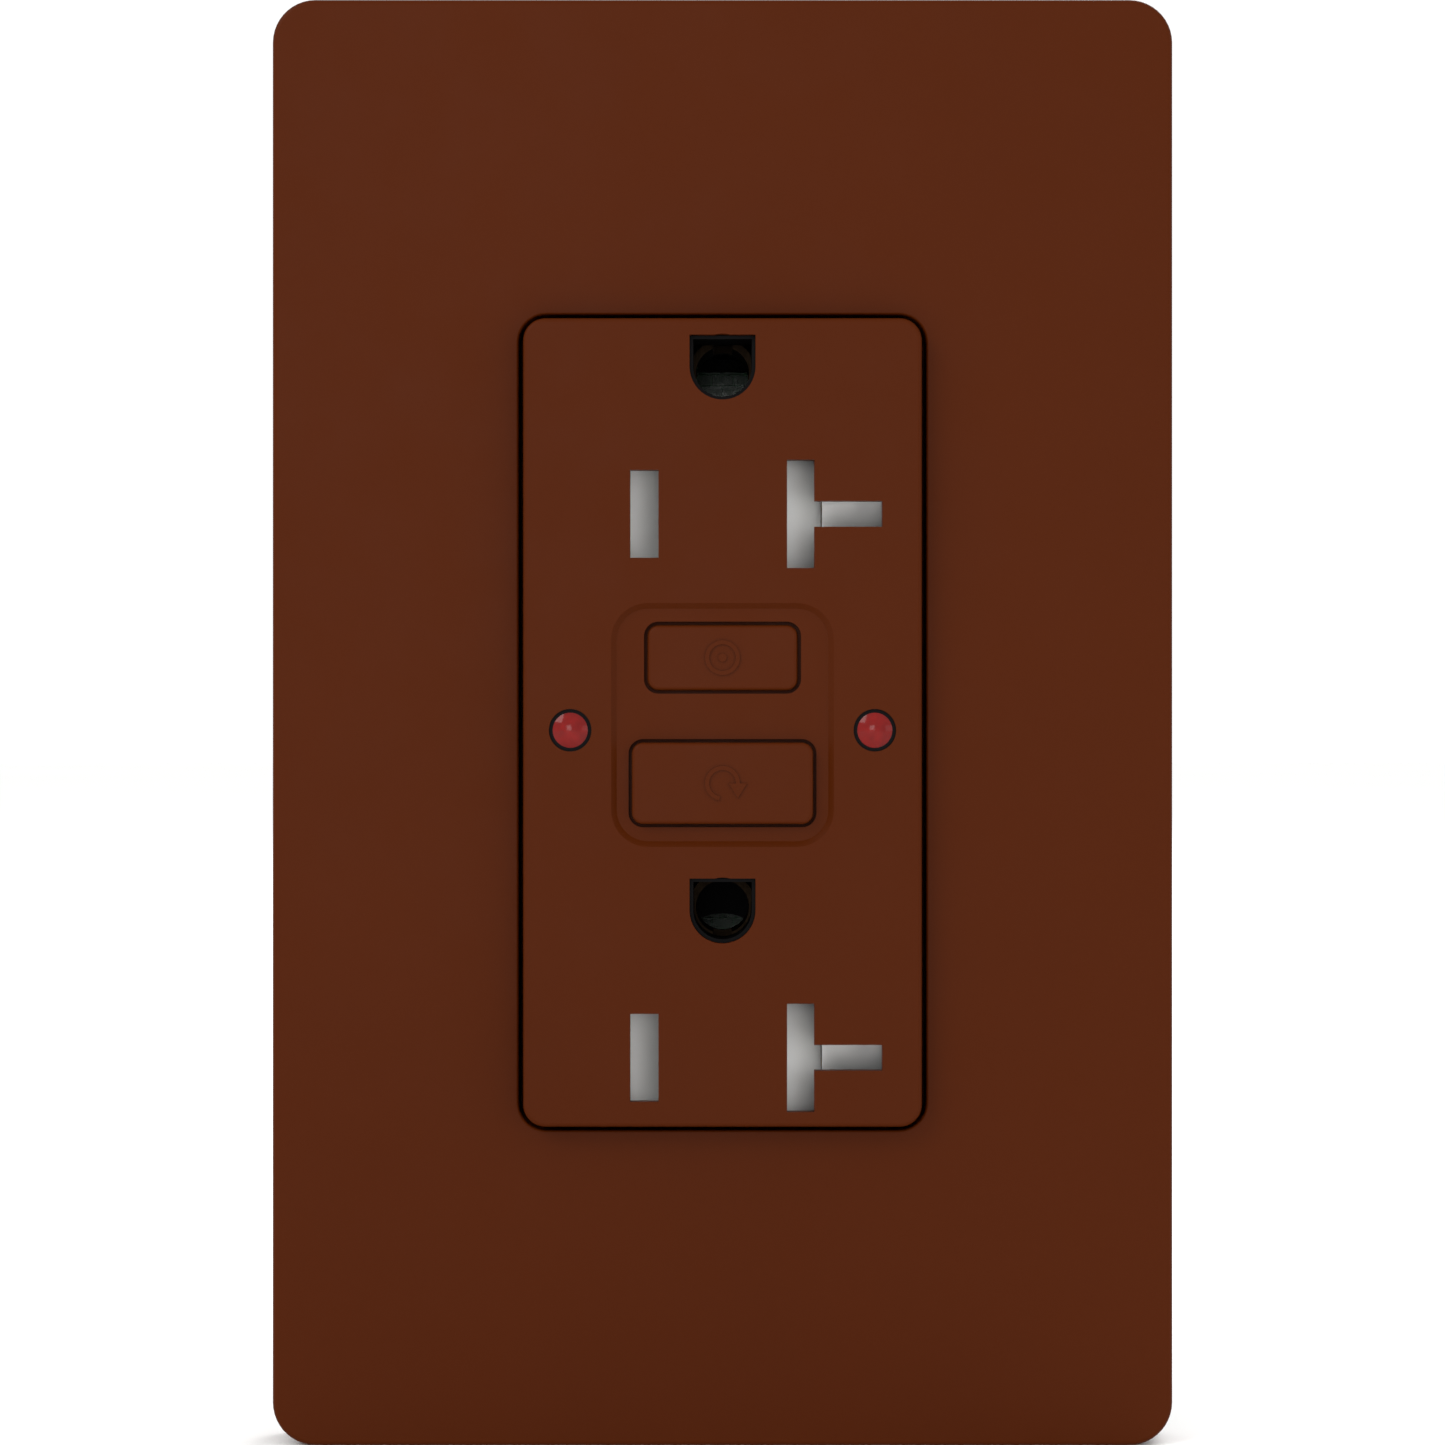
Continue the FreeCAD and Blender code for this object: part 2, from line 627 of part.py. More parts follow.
def light_pipe(side):
    x = side * LENS_X
    shoulder_y, front_y = FACE_INNER_Y, FACE_Y + LENS_SUNK
    barrel = rod_y(x, LENS_Z, LENS_R, front_y, shoulder_y)
    ball_r = (LENS_R**2 + LENS_DOME**2) / (2 * LENS_DOME)
    ball = Part.makeSphere(ball_r, FreeCAD.Vector(x, front_y - LENS_DOME + ball_r, LENS_Z))
    dome = ball.common(rod_y(x, LENS_Z, LENS_R, FACE_Y - PAST, front_y))
    flange = rod_y(x, LENS_Z, LENS_R + LENS_FLANGE, shoulder_y, shoulder_y + BUTTON_FLANGE_THICK)
    stem = rod_y(x, LENS_Z, LENS_STEM_R, shoulder_y, BOARD_Y - LED_R - LED_GAP - LED_BASE)
    return fuse(barrel, dome, flange, stem)


def light_pipes():
    return Part.makeCompound([light_pipe(side) for side in (-1, 1)])


# ---- mounting strap and its screws ----
def mounting_strap():
    half, step = STRAP_WIDTH / 2, STEP_Z
    deck = box(-half, half, DECK_Y, DECK_END_Y, -step - STRAP_THICK, step + STRAP_THICK)
    strap = deck
    for end in (-1, 1):
        low, high = sorted((end * step, end * (step + STRAP_THICK)))
        riser = box(-half, half, EAR_Y, DECK_END_Y, low, high)
        inner, outer = step, STRAP_LENGTH / 2
        ear = box(
            -STRAP_EAR_WIDTH / 2, STRAP_EAR_WIDTH / 2, EAR_Y, 0,
            min(end * inner, end * outer), max(end * inner, end * outer),
        )
        corners = edges_along(ear, FreeCAD.Vector(0, 1, 0))
        tips = [edge for edge in corners if abs(edge.BoundBox.ZMax - end * outer) < LEVEL]
        strap = fuse(strap, riser, ear.makeFillet(EAR_CORNER_R, tips))
        slot_z, flat = end * BOX_SCREW_PITCH / 2, BOX_SLOT_LENGTH / 2 - BOX_SLOT_HALF_WIDTH
        ends = [rod_y(x, slot_z, BOX_SLOT_HALF_WIDTH, -BEYOND, OVERLAP) for x in (-flat, flat)]
        middle = slot(-flat, flat, 2 * BOX_SLOT_HALF_WIDTH, slot_z, -BEYOND, OVERLAP)
        tapped = rod_y(0, end * PLATE_SCREW_PITCH / 2, SIX_SCREW_R + SCREW_FIT, -BEYOND, OVERLAP)
        strap = cut(strap, middle, tapped, *ends)
    tab = box(*GROUND_TAB, DECK_Y, GROUND_TAB_END_Y, -step - STRAP_THICK, -step)
    strap = fuse(strap, tab)
    window_x, window_z = MECHANISM_WINDOW_WIDTH / 2, MECHANISM_WINDOW_HEIGHT / 2
    passes = [box(-window_x, window_x, OVERLAP, BEYOND, -window_z, window_z)]
    for outlet, z in OUTLET_HEIGHTS.items():
        height = 2 * (CONTACT_HALF_HEIGHT + CONTACT_WINDOW_MARGIN)
        reach = CONTACT_HALF_GAP + CONTACT_LEAF + CONTACT_WINDOW_MARGIN
        branch_end = BRANCH_CONTACT_X[1] + CONTACT_WINDOW_MARGIN
        passes.append(slot(-BLADE_X - reach, -BLADE_X + reach, height, z, OVERLAP, BEYOND))
        passes.append(slot(BLADE_X - reach, branch_end, height, z, OVERLAP, BEYOND))
        holes = [(0, GROUND_PASS_R), (-RIVET_X, RIVET_R), (RIVET_X, RIVET_R)]
        passes += [rod_y(x, ground_height(outlet), radius, OVERLAP, BEYOND) for x, radius in holes]
    stem_pass, boss_pass = LENS_STEM_R + LENS_GAP, BODY_BOSS_R + CARRIER_GAP
    passes += [rod_y(x, LENS_Z, stem_pass, OVERLAP, BEYOND) for x in (-LENS_X, LENS_X)]
    passes += [rod_y(x, z, boss_pass, OVERLAP, BEYOND) for x, z in body_screw_places()]
    passes.append(ground_screw_hole(GROUND_SCREW_R + SCREW_FIT))
    return cut(strap, *passes)


def ground_screw_axis():
    return sum(GROUND_TAB) / 2, (DECK_END_Y + GROUND_TAB_END_Y) / 2


def ground_screw_hole(radius):
    x, y = ground_screw_axis()
    return rod_z(x, y, radius, -STEP_Z - STRAP_THICK - PAST, -STEP_Z + GROUND_SCREW_LENGTH)


def ground_screw():
    x, y = ground_screw_axis()
    seat = -STEP_Z - STRAP_THICK
    head = rod_z(x, y, GROUND_SCREW_HEAD_R, seat - GROUND_SCREW_HEAD_THICK, seat)
    rim = [e for e in head.Edges if e.BoundBox.ZMax < seat - GROUND_SCREW_HEAD_THICK + LEVEL]
    shank = rod_z(x, y, GROUND_SCREW_R, seat, seat + GROUND_SCREW_LENGTH)
    half, top = DRIVE_SLOT_WIDTH / 2, seat - GROUND_SCREW_HEAD_THICK
    drive = box(-BEYOND, BEYOND, y - half, y + half, top - PAST, top + DRIVE_SLOT_DEPTH)
    return cut(fuse(head.makeFillet(BUTTON_EDGE_R, rim), shank), drive)


def box_screw(z):
    head_y = EAR_Y - SIX_HEAD_THICK
    head = rod_y(0, z, SIX_HEAD_R, head_y, EAR_Y)
    rim = [edge for edge in head.Edges if edge.BoundBox.YMax < head_y + LEVEL]
    head = head.makeFillet(SIX_HEAD_THICK / 2, rim)
    neck = rod_y(0, z, BOX_SCREW_NECK_R, EAR_Y, BOX_SCREW_THREAD_Y)
    thread = rod_y(0, z, SIX_SCREW_R, BOX_SCREW_THREAD_Y, BOX_SCREW_END_Y)
    point = cone_y(0, z, SIX_SCREW_R, SIX_SCREW_R / 2, BOX_SCREW_END_Y, BOX_SCREW_END_Y + BOX_SCREW_POINT)
    half = DRIVE_SLOT_WIDTH / 2
    drive = box(-BEYOND, BEYOND, head_y - PAST, head_y + DRIVE_SLOT_DEPTH, z - half, z + half)
    return cut(fuse(head, neck, thread, point), drive)


def box_screws():
    return Part.makeCompound([box_screw(end * BOX_SCREW_PITCH / 2) for end in (-1, 1)])


def screw_retainers():
    """Thin washers on the screw necks that keep the box screws in the strap."""
    rings = []
    for z in (-BOX_SCREW_PITCH / 2, BOX_SCREW_PITCH / 2):
        disc = rod_y(0, z, RETAINER_R, 0, RETAINER_THICK)
        rings.append(cut(disc, rod_y(0, z, BOX_SCREW_NECK_R + SCREW_FIT, -PAST, BEYOND)))
    return Part.makeCompound(rings)


def ground_contact(outlet):
    z = ground_height(outlet)
    base_y = DECK_Y - GROUND_LEAF_WALL
    half_x, half_z = GROUND_BASE_HALF
    base = box(-half_x, half_x, base_y, DECK_Y, z - half_z, z + half_z)
    outer_r = GROUND_LEAF_R + GROUND_LEAF_WALL
    hollow = rod_y(0, z, GROUND_LEAF_R, -BEYOND, BEYOND)
    sleeve = cut(rod_y(0, z, outer_r, GROUND_LEAF_FRONT_Y, base_y), hollow)
    split_half, split_end = GROUND_LEAF_SPLIT / 2, base_y - PAST
    split = box(-split_half, split_half, -BEYOND, split_end, z - half_z, z + half_z)
    rivets = [rod_y(x, z, RIVET_R, -BEYOND, BEYOND) for x in (-RIVET_X, RIVET_X)]
    return cut(fuse(base, cut(sleeve, split)), hollow, *rivets)


def ground_contacts():
    return Part.makeCompound([ground_contact(outlet) for outlet in OUTLET_HEIGHTS])


def ground_rivets():
    front, rear = DECK_Y - GROUND_LEAF_WALL, DECK_END_Y
    rivets = []
    for outlet in OUTLET_HEIGHTS:
        for x in (-RIVET_X, RIVET_X):
            z = ground_height(outlet)
            shank = rod_y(x, z, RIVET_R, front, rear)
            heads = [
                rod_y(x, z, RIVET_HEAD_R, front - RIVET_HEAD_THICK, front),
                rod_y(x, z, RIVET_HEAD_R, rear, rear + RIVET_HEAD_THICK),
            ]
            rivets.append(fuse(shank, *heads))
    return Part.makeCompound(rivets)


# ---- shutters ----
def main_shutter(outlet):
    """Slides left when both blades push on its slopes, and its window comes under the hot slot."""
    z = OUTLET_HEIGHTS[outlet]
    low, high = z - SHUTTER_HALF_HEIGHT, z + SHUTTER_HALF_HEIGHT
    block = box(SHUTTER_LEFT, SHUTTER_RIGHT, SHUTTER_Y, SHUTTER_END_Y, low, high)
    window_x = -BLADE_X + SHUTTER_TRAVEL
    half_x, half_z = HOT_SLOT_WIDTH / 2 + SHUTTER_SIDE_PLAY, HOT_SLOT_HEIGHT / 2 + SHUTTER_SIDE_PLAY
    opening = box(window_x - half_x, window_x + half_x, -BEYOND, BEYOND, z - half_z, z + half_z)
    foot = window_x - half_x
    hot_slope = slope_x(foot, SHUTTER_TRAVEL, z - half_z, z + half_z)
    tee_slope = slope_x(SHUTTER_RIGHT, SHUTTER_TRAVEL - SHUTTER_SIDE_PLAY, low - PAST, high + PAST)
    rib_start, rib_end = guide_rib_x()
    groove = slot(
        rib_start - SHUTTER_SIDE_PLAY, rib_end + SHUTTER_TRAVEL + SHUTTER_SIDE_PLAY,
        2 * (GUIDE_RIB_HALF + SHUTTER_SIDE_PLAY), z, SHUTTER_END_Y - GUIDE_RIB_DEPTH, BEYOND,
    )
    pocket = rod_x(
        SHUTTER_SPRING_Y, z, SPRING_OUTER_R + SPRING_POCKET_GAP,
        SHUTTER_LEFT - PAST, SHUTTER_LEFT + SPRING_POCKET_DEPTH,
    )
    return cut(block, opening, hot_slope, tee_slope, groove, pocket)


def slope_x(foot, length, z0, z1):
    """Cuts a 45 degree slope that is deepest at its foot on the right."""
    top, beside = SHUTTER_Y - PAST, foot + PAST
    points = [(foot - length, SHUTTER_Y), (foot, SHUTTER_Y + length), (beside, SHUTTER_Y + length)]
    points += [(beside, top), (foot - length, top)]
    return wedge_xy(points, z0, z1)


def guide_rib_x():
    """Where the rib of the tray runs that guides the shutter."""
    left = -BLADE_X + SHUTTER_TRAVEL + HOT_SLOT_WIDTH
    return left, left + GUIDE_RIB_LENGTH


def branch_shutter(outlet):
    """Covers the branch of the T slot and slides up."""
    z = OUTLET_HEIGHTS[outlet]
    left, right = SHUTTER_RIGHT + BRANCH_PLAY, TRAY_INNER_X - SHUTTER_SIDE_PLAY
    low, high = z - BRANCH_HALF_HEIGHT, z + BRANCH_HALF_HEIGHT
    block = box(left, right, SHUTTER_Y, SHUTTER_END_Y, low, high)
    rise = BRANCH_TRAVEL - SHUTTER_PLAY
    top, beneath = SHUTTER_Y - PAST, low - PAST
    points = [(SHUTTER_Y, low + rise), (SHUTTER_Y + rise, low), (SHUTTER_Y + rise, beneath)]
    points += [(top, beneath), (top, low + rise)]
    slope = wedge_yz(points, left - PAST, right + PAST)
    pocket_r = SPRING_OUTER_R + SPRING_POCKET_GAP
    pocket = rod_z(BRANCH_SPRING_X, SHUTTER_SPRING_Y, pocket_r, branch_spring_z(z)[0], high + PAST)
    return cut(block, slope, pocket)


def branch_spring_z(z):
    return z + BRANCH_HALF_HEIGHT - TRAY_LEDGE, z + TRAY_TOP - TRAY_LEDGE


def shutter_tray(outlet):
    z = OUTLET_HEIGHTS[outlet]
    low, high = z - SHUTTER_HALF_HEIGHT, z + SHUTTER_HALF_HEIGHT
    floor_end = TRAY_Y + TRAY_FLOOR
    floor = box(-TRAY_OUTER_X, TRAY_OUTER_X, TRAY_Y, floor_end, low, high)
    left_wall = box(-TRAY_OUTER_X, -TRAY_INNER_X, FACE_INNER_Y, DECK_Y, low, high)
    right_wall = box(TRAY_INNER_X, TRAY_OUTER_X, FACE_INNER_Y, DECK_Y, low, z + TRAY_TOP)
    ledge_x = SHUTTER_RIGHT + SHUTTER_SIDE_PLAY
    spring_ledge = box(
        BRANCH_SPRING_X - 2 * SPRING_OUTER_R, TRAY_INNER_X, SHUTTER_Y, TRAY_Y + TRAY_FLOOR,
        branch_spring_z(z)[1], z + TRAY_TOP,
    )
    stop_top = z - BRANCH_HALF_HEIGHT - SHUTTER_SIDE_PLAY
    stop = box(ledge_x, TRAY_INNER_X, SHUTTER_Y, floor_end, stop_top - TRAY_LEDGE, stop_top)
    rib_y = TRAY_Y - GUIDE_RIB_DEPTH + SHUTTER_SIDE_PLAY
    rib = slot(*guide_rib_x(), 2 * GUIDE_RIB_HALF, z, rib_y, TRAY_Y)
    tray = fuse(floor, left_wall, right_wall, spring_ledge, stop, rib)
    tee_height, branch_height = TEE_SLOT_HEIGHT - 2 * SHUTTER_PLAY, TEE_BRANCH_HEIGHT + 2 * SHUTTER_PLAY
    passes = [
        slot(-BLADE_X - BLADE_PASS, -BLADE_X + BLADE_PASS, HOT_SLOT_HEIGHT, z, -BEYOND, BEYOND),
        slot(BLADE_X - BLADE_PASS, BLADE_X + BLADE_PASS, tee_height, z, -BEYOND, BEYOND),
        slot(BLADE_X, TEE_BRANCH_END, branch_height, z, -BEYOND, BEYOND),
    ]
    return cut(tray, *passes)


def shutter_trays():
    return Part.makeCompound([shutter_tray(outlet) for outlet in OUTLET_HEIGHTS])


def shutter_spring(outlet):
    z = OUTLET_HEIGHTS[outlet]
    span = (-TRAY_INNER_X, SHUTTER_LEFT + SPRING_POCKET_DEPTH)
    return cut(
        rod_x(SHUTTER_SPRING_Y, z, SPRING_OUTER_R, *span),
        rod_x(SHUTTER_SPRING_Y, z, SPRING_INNER_R, *span),
    )


def branch_spring(outlet):
    span = branch_spring_z(OUTLET_HEIGHTS[outlet])
    return cut(
        rod_z(BRANCH_SPRING_X, SHUTTER_SPRING_Y, SPRING_OUTER_R, *span),
        rod_z(BRANCH_SPRING_X, SHUTTER_SPRING_Y, SPRING_INNER_R, *span),
    )


# ---- brass ----
def sided(side, limits):
    """Limits given for the right side, or their mirror image on the left."""
    x0, x1, y0, y1, z0, z1 = limits
    return (x0, x1, y0, y1, z0, z1) if side > 0 else (-x1, -x0, y0, y1, z0, z1)


def leaf_limits(outlet, branch):
    """The spring leaves that grip one blade, as blocks on the right side."""
    z = OUTLET_HEIGHTS[outlet]
    near, far = CONTACT_HALF_GAP, CONTACT_HALF_GAP + CONTACT_LEAF
    low, high = z - CONTACT_HALF_HEIGHT, z + CONTACT_HALF_HEIGHT
    leaves = [
        (BLADE_X - far, BLADE_X - near, CONTACT_FRONT_Y, BAR_Y, low, high),
        (BLADE_X + near, BLADE_X + far, CONTACT_FRONT_Y, BAR_Y, low, high),
    ]
    if branch:
        leaves.append((*BRANCH_CONTACT_X, CONTACT_FRONT_Y, BAR_Y, z + near, z + far))
        leaves.append((*BRANCH_CONTACT_X, CONTACT_FRONT_Y, BAR_Y, z - far, z - near))
    return leaves


def terminal_limits(end):
    """The plate under a terminal screw and the tab that carries it."""
    z = end * TERMINAL_Z
    inner = SPINE_X[1] if end > 0 else LINE_RUN_X[0]
    return [
        (inner, TERMINAL_PLATE_X[1], BAR_Y, BAR_END_Y, z - TERMINAL_TAB_HALF, z + TERMINAL_TAB_HALF),
        (
            *TERMINAL_PLATE_X, BAR_Y, TERMINAL_PLATE_END_Y,
            z - TERMINAL_HALF_HEIGHT, z + TERMINAL_HALF_HEIGHT,
        ),
    ]


def busbar_limits(side):
    branch = side > 0
    spine_end = TERMINAL_Z + CONTACT_HALF_HEIGHT
    spine_start = OUTLET_HEIGHTS["lower"] - CONTACT_HALF_HEIGHT
    blocks = [(*SPINE_X, BAR_Y, BAR_END_Y, spine_start, spine_end)] + terminal_limits(1)
    for outlet, z in OUTLET_HEIGHTS.items():
        outer = BRANCH_CONTACT_X[1] if branch else SPINE_X[1]
        inner = BLADE_X - CONTACT_HALF_GAP - CONTACT_LEAF
        low, high = z - CONTACT_HALF_HEIGHT, z + CONTACT_HALF_HEIGHT
        blocks.append((inner, outer, BAR_Y, BAR_END_Y, low, high))
        blocks += leaf_limits(outlet, branch)
    return [sided(side, limits) for limits in blocks]


def terminal_cuts(side, end):
    """The screw hole and the two wire grooves of a terminal plate."""
    z, inner = end * TERMINAL_Z, TERMINAL_PLATE_X[0]
    hole = rod_x(TERMINAL_Y, z, TERMINAL_SCREW_R + TERMINAL_SCREW_FIT, inner - PAST, BEYOND)
    axis_x = inner + WIRE_GROOVE_DEPTH - WIRE_GROOVE_R
    offsets = (-WIRE_OFFSET, WIRE_OFFSET)
    grooves = [rod_y(axis_x, z + dz, WIRE_GROOVE_R, BAR_END_Y, BEYOND) for dz in offsets]
    cuts = [hole] + grooves
    return cuts if side > 0 else [mirror_x(shape) for shape in cuts]


def busbar(side):
    bar = fuse(*[box(*limits) for limits in busbar_limits(side)])
    return cut(bar, *terminal_cuts(side, 1))


def line_limits(side):
    """Line terminal, its run round the wires, and the bar through the sensing cores to the arm."""
    tab_top = -TERMINAL_Z + TERMINAL_TAB_HALF
    rear_end = LINE_REAR_Y + BAR_THICK
    front = (CARRIER_END_Y, CARRIER_END_Y + BAR_THICK)
    blocks = terminal_limits(-1) + [
        (*LINE_RUN_X, BAR_Y, BAR_END_Y, LINE_TAIL_Z[0], tab_top),
        (*LINE_TAIL_X, BAR_Y, rear_end, *LINE_TAIL_Z),
        (CORE_BAR_X[0], LINE_TAIL_X[1], LINE_REAR_Y, rear_end, *LINE_TAIL_Z),
        (*CORE_BAR_X, LINE_REAR_Y, rear_end, LINE_TAIL_Z[0], CORE_BAR_Z[1]),
        (*CORE_BAR_X, front[0], rear_end, *CORE_BAR_Z),
        (CORE_BAR_X[0], ARM_X[1], *front, *CORE_BAR_Z),
        (*ARM_X, *front, CORE_BAR_Z[0], ARM_PIVOT_Z - ARM_THICK / 2 - ARM_ROOT_GAP),
    ]
    return [sided(side, limits) for limits in blocks]


def line_conductor(side):
    bar = fuse(*[box(*limits) for limits in line_limits(side)])
    return cut(bar, *terminal_cuts(side, -1))


def contact_arm(side):
    """A spring arm, rounded at its root where it bends."""
    middle_y = ARM_Y + ARM_THICK / 2
    blade = box(*ARM_X, ARM_Y, ARM_END_Y, ARM_PIVOT_Z, ARM_END_Z)
    root = rod_x(middle_y, ARM_PIVOT_Z, ARM_THICK / 2, *ARM_X)
    arm = fuse(blade, root)
    return arm if side > 0 else mirror_x(arm)


def fixed_contact_end():
    return BAR_END_Y + FIXED_CONTACT_THICK


def arm_contact(side):
    front_y = fixed_contact_end() + ARM_CONTACT_GAP
    return rod_y(side * CONTACT_X, CONTACT_Z, FIXED_CONTACT_R, front_y, ARM_Y)


def fixed_contacts():
    rear_y = fixed_contact_end()
    places = (-CONTACT_X, CONTACT_X)
    return Part.makeCompound([rod_y(x, CONTACT_Z, FIXED_CONTACT_R, BAR_END_Y, rear_y) for x in places])


# ---- wire terminals ----
def terminal_screw(side, end):
    z = end * TERMINAL_Z
    seat = TERMINAL_PLATE_X[1]
    top = seat + TERMINAL_SCREW_HEAD_THICK
    head = rod_x(TERMINAL_Y, z, TERMINAL_SCREW_HEAD_R, seat, top)
    rim = [edge for edge in head.Edges if edge.BoundBox.XMin > top - LEVEL]
    shank = rod_x(TERMINAL_Y, z, TERMINAL_SCREW_R, TERMINAL_SCREW_TIP_X, seat)
    half = DRIVE_SLOT_WIDTH / 2
    deep, y, cross_half = top - DRIVE_SLOT_DEPTH, TERMINAL_Y, TERMINAL_SCREW_HEAD_R / 2
    drive = box(deep, top + PAST, y - half, y + half, z - BEYOND, z + BEYOND)
    cross = box(deep, top + PAST, y - cross_half, y + cross_half, z - half, z + half)
    screw = cut(fuse(head.makeFillet(BUTTON_EDGE_R, rim), shank), drive, cross)
    return screw if side > 0 else mirror_x(screw)


def clamp_plate(side, end):
    """The pressure plate that the terminal screw draws outwards onto the wires."""
    z = end * TERMINAL_Z
    outer = TERMINAL_PLATE_X[0] - WIRE_GAP
    half_y, half_z = CLAMP_HALF
    y = TERMINAL_Y
    plate = box(outer - CLAMP_THICK, outer, y - half_y, y + half_y, z - half_z, z + half_z)
    hole = rod_x(y, z, TERMINAL_SCREW_R + CLAMP_THREAD_FIT, -BEYOND, BEYOND)
    axis_x = outer - WIRE_GROOVE_DEPTH + WIRE_GROOVE_R
    offsets = (-WIRE_OFFSET, WIRE_OFFSET)
    grooves = [rod_y(axis_x, z + dz, WIRE_GROOVE_R, -BEYOND, BEYOND) for dz in offsets]
    plate = cut(plate, hole, *grooves)
    return plate if side > 0 else mirror_x(plate)


# ---- mechanism ----
def test_blade_foot(y0, y1):
    left = TEST_BLADE_X[0]
    return slot(left, left + TEST_BLADE_THICK, 2 * TEST_BLADE_HALF, TEST_Z, y0, y1)


def test_blade():
    """A leaf spring under the test button: it returns the button and closes the test circuit."""
    rear_y = TEST_BLADE_Y + TEST_BLADE_THICK
    leaf = slot(*TEST_BLADE_X, 2 * TEST_BLADE_HALF, TEST_Z, TEST_BLADE_Y, rear_y)
    return fuse(leaf, test_blade_foot(TEST_BLADE_Y, BAR_Y))


def reset_pin():
    shaft = rod_y(0, RESET_Z, PIN_R, FACE_INNER_Y, LATCH_END_Y + LATCH_GAP)
    tip = cone_y(0, RESET_Z, PIN_TIP_R, PIN_R / 2, LATCH_END_Y + LATCH_GAP, PIN_TIP_END_Y)
    return fuse(shaft, tip)


def reset_spring():
    inner, outer = RESET_SPRING_R
    span = (button_back_y(), DECK_END_Y)
    return cut(rod_y(0, RESET_Z, outer, *span), rod_y(0, RESET_Z, inner, *span))


def lifter():
    """Carries the latch and pushes both contact arms forwards."""
    low, high = LIFTER_Z
    bar = box(-LIFTER_HALF_WIDTH, LIFTER_HALF_WIDTH, LIFTER_Y, LATCH_END_Y + LIFTER_ARM_COVER, low, high)
    hub_half = GUIDE_X + 2 * GUIDE_R
    hub = box(-hub_half, hub_half, LIFTER_Y, LIFTER_END_Y, low, high)
    pin_pass = rod_y(0, RESET_Z, PIN_TIP_R + PIN_TIP_FIT, -BEYOND, BEYOND)
    side = LATCH_HALF_WIDTH + LATCH_GAP
    latch_pass = box(-side, side, LATCH_Y - LATCH_GAP, LATCH_END_Y + LATCH_GAP, -BEYOND, BEYOND)
    guide_z = sum(LIFTER_Z) / 2
    guides = [rod_y(x, guide_z, GUIDE_R + GUIDE_FIT, -BEYOND, BEYOND) for x in (-GUIDE_X, GUIDE_X)]
    return cut(fuse(bar, hub), pin_pass, latch_pass, *guides)


def latch_plate():
    """A keyhole plate that holds the reset pin, until the plunger pushes it down."""
    strip = box(-LATCH_HALF_WIDTH, LATCH_HALF_WIDTH, LATCH_Y, LATCH_END_Y, LATCH_LOW_Z, LATCH_TAB_Z)
    tab = box(
        -LATCH_HALF_WIDTH, LATCH_HALF_WIDTH, LATCH_Y, LATCH_TAB_END_Y,
        LATCH_TAB_Z - LATCH_TAB_THICK, LATCH_TAB_Z,
    )
    release_z = RESET_Z + PLUNGER_TRAVEL
    narrow, through = PIN_R + PIN_FIT, LATCH_END_Y + OVERLAP
    keyhole = [
        rod_y(0, RESET_Z, narrow, -BEYOND, through),
        rod_y(0, release_z, LATCH_RELEASE_R, -BEYOND, through),
        box(-narrow, narrow, -BEYOND, through, RESET_Z, release_z),
    ]
    return cut(fuse(strip, tab), *keyhole)


def latch_spring():
    span = (LIFTER_Z[1], LATCH_TAB_Z - LATCH_TAB_THICK)
    return cut(
        rod_z(0, LATCH_SPRING_Y, SPRING_OUTER_R, *span), rod_z(0, LATCH_SPRING_Y, SPRING_INNER_R, *span)
    )


# ---- carrier ----
def terminal_chambers(y0, y1):
    """Room for the wires and the clamp plates of the four terminals."""
    rooms = []
    for end in (-1, 1):
        z = end * TERMINAL_Z
        room = box(CHAMBER_X, BEYOND, y0, y1, z - CHAMBER_HALF, z + CHAMBER_HALF)
        rooms += [room, mirror_x(room)]
    return rooms


def contact_carrier():
    plate = box(
        -CARRIER_HALF_WIDTH, CARRIER_HALF_WIDTH, DECK_END_Y, CARRIER_END_Y,
        -CARRIER_HALF_HEIGHT, CARRIER_HALF_HEIGHT,
    )
    guide_z = sum(LIFTER_Z) / 2
    guides = [rod_y(x, guide_z, GUIDE_R, CARRIER_END_Y - PAST, GUIDE_END_Y) for x in (-GUIDE_X, GUIDE_X)]
    carrier = fuse(plate, *guides)
    metal = [limits for side in (-1, 1) for limits in busbar_limits(side) + line_limits(side)]
    in_carrier = [limits for limits in metal if limits[2] < CARRIER_END_Y]
    pockets = [grown(limits, CARRIER_GAP, DECK_END_Y - PAST) for limits in in_carrier]
    pockets += terminal_chambers(BAR_END_Y, BEYOND)
    contact_hole = FIXED_CONTACT_R + FACE_GAP
    pockets += [rod_y(x, CONTACT_Z, contact_hole, BAR_END_Y, BEYOND) for x in (-CONTACT_X, CONTACT_X)]
    pockets.append(rod_y(0, RESET_Z, PIN_TIP_R + PIN_FIT, -BEYOND, BEYOND))
    pockets.append(test_blade_foot(0, BAR_Y))
    for outlet in OUTLET_HEIGHTS:
        z = ground_height(outlet)
        pockets.append(rod_y(0, z, GROUND_PASS_R, -BEYOND, BEYOND))
        head_r, head_y = RIVET_HEAD_R + CARRIER_GAP, DECK_END_Y + RIVET_HEAD_THICK + CARRIER_GAP
        pockets += [rod_y(x, z, head_r, 0, head_y) for x in (-RIVET_X, RIVET_X)]
    pockets += [rod_y(x, LENS_Z, LENS_STEM_R + CARRIER_GAP, -BEYOND, BEYOND) for x in (-LENS_X, LENS_X)]
    corner = BODY_BOSS_R + CARRIER_GAP
    for x, z in body_screw_places():
        pockets.append(rod_y(x, z, corner, -BEYOND, BEYOND))
    return cut(carrier, *pockets)


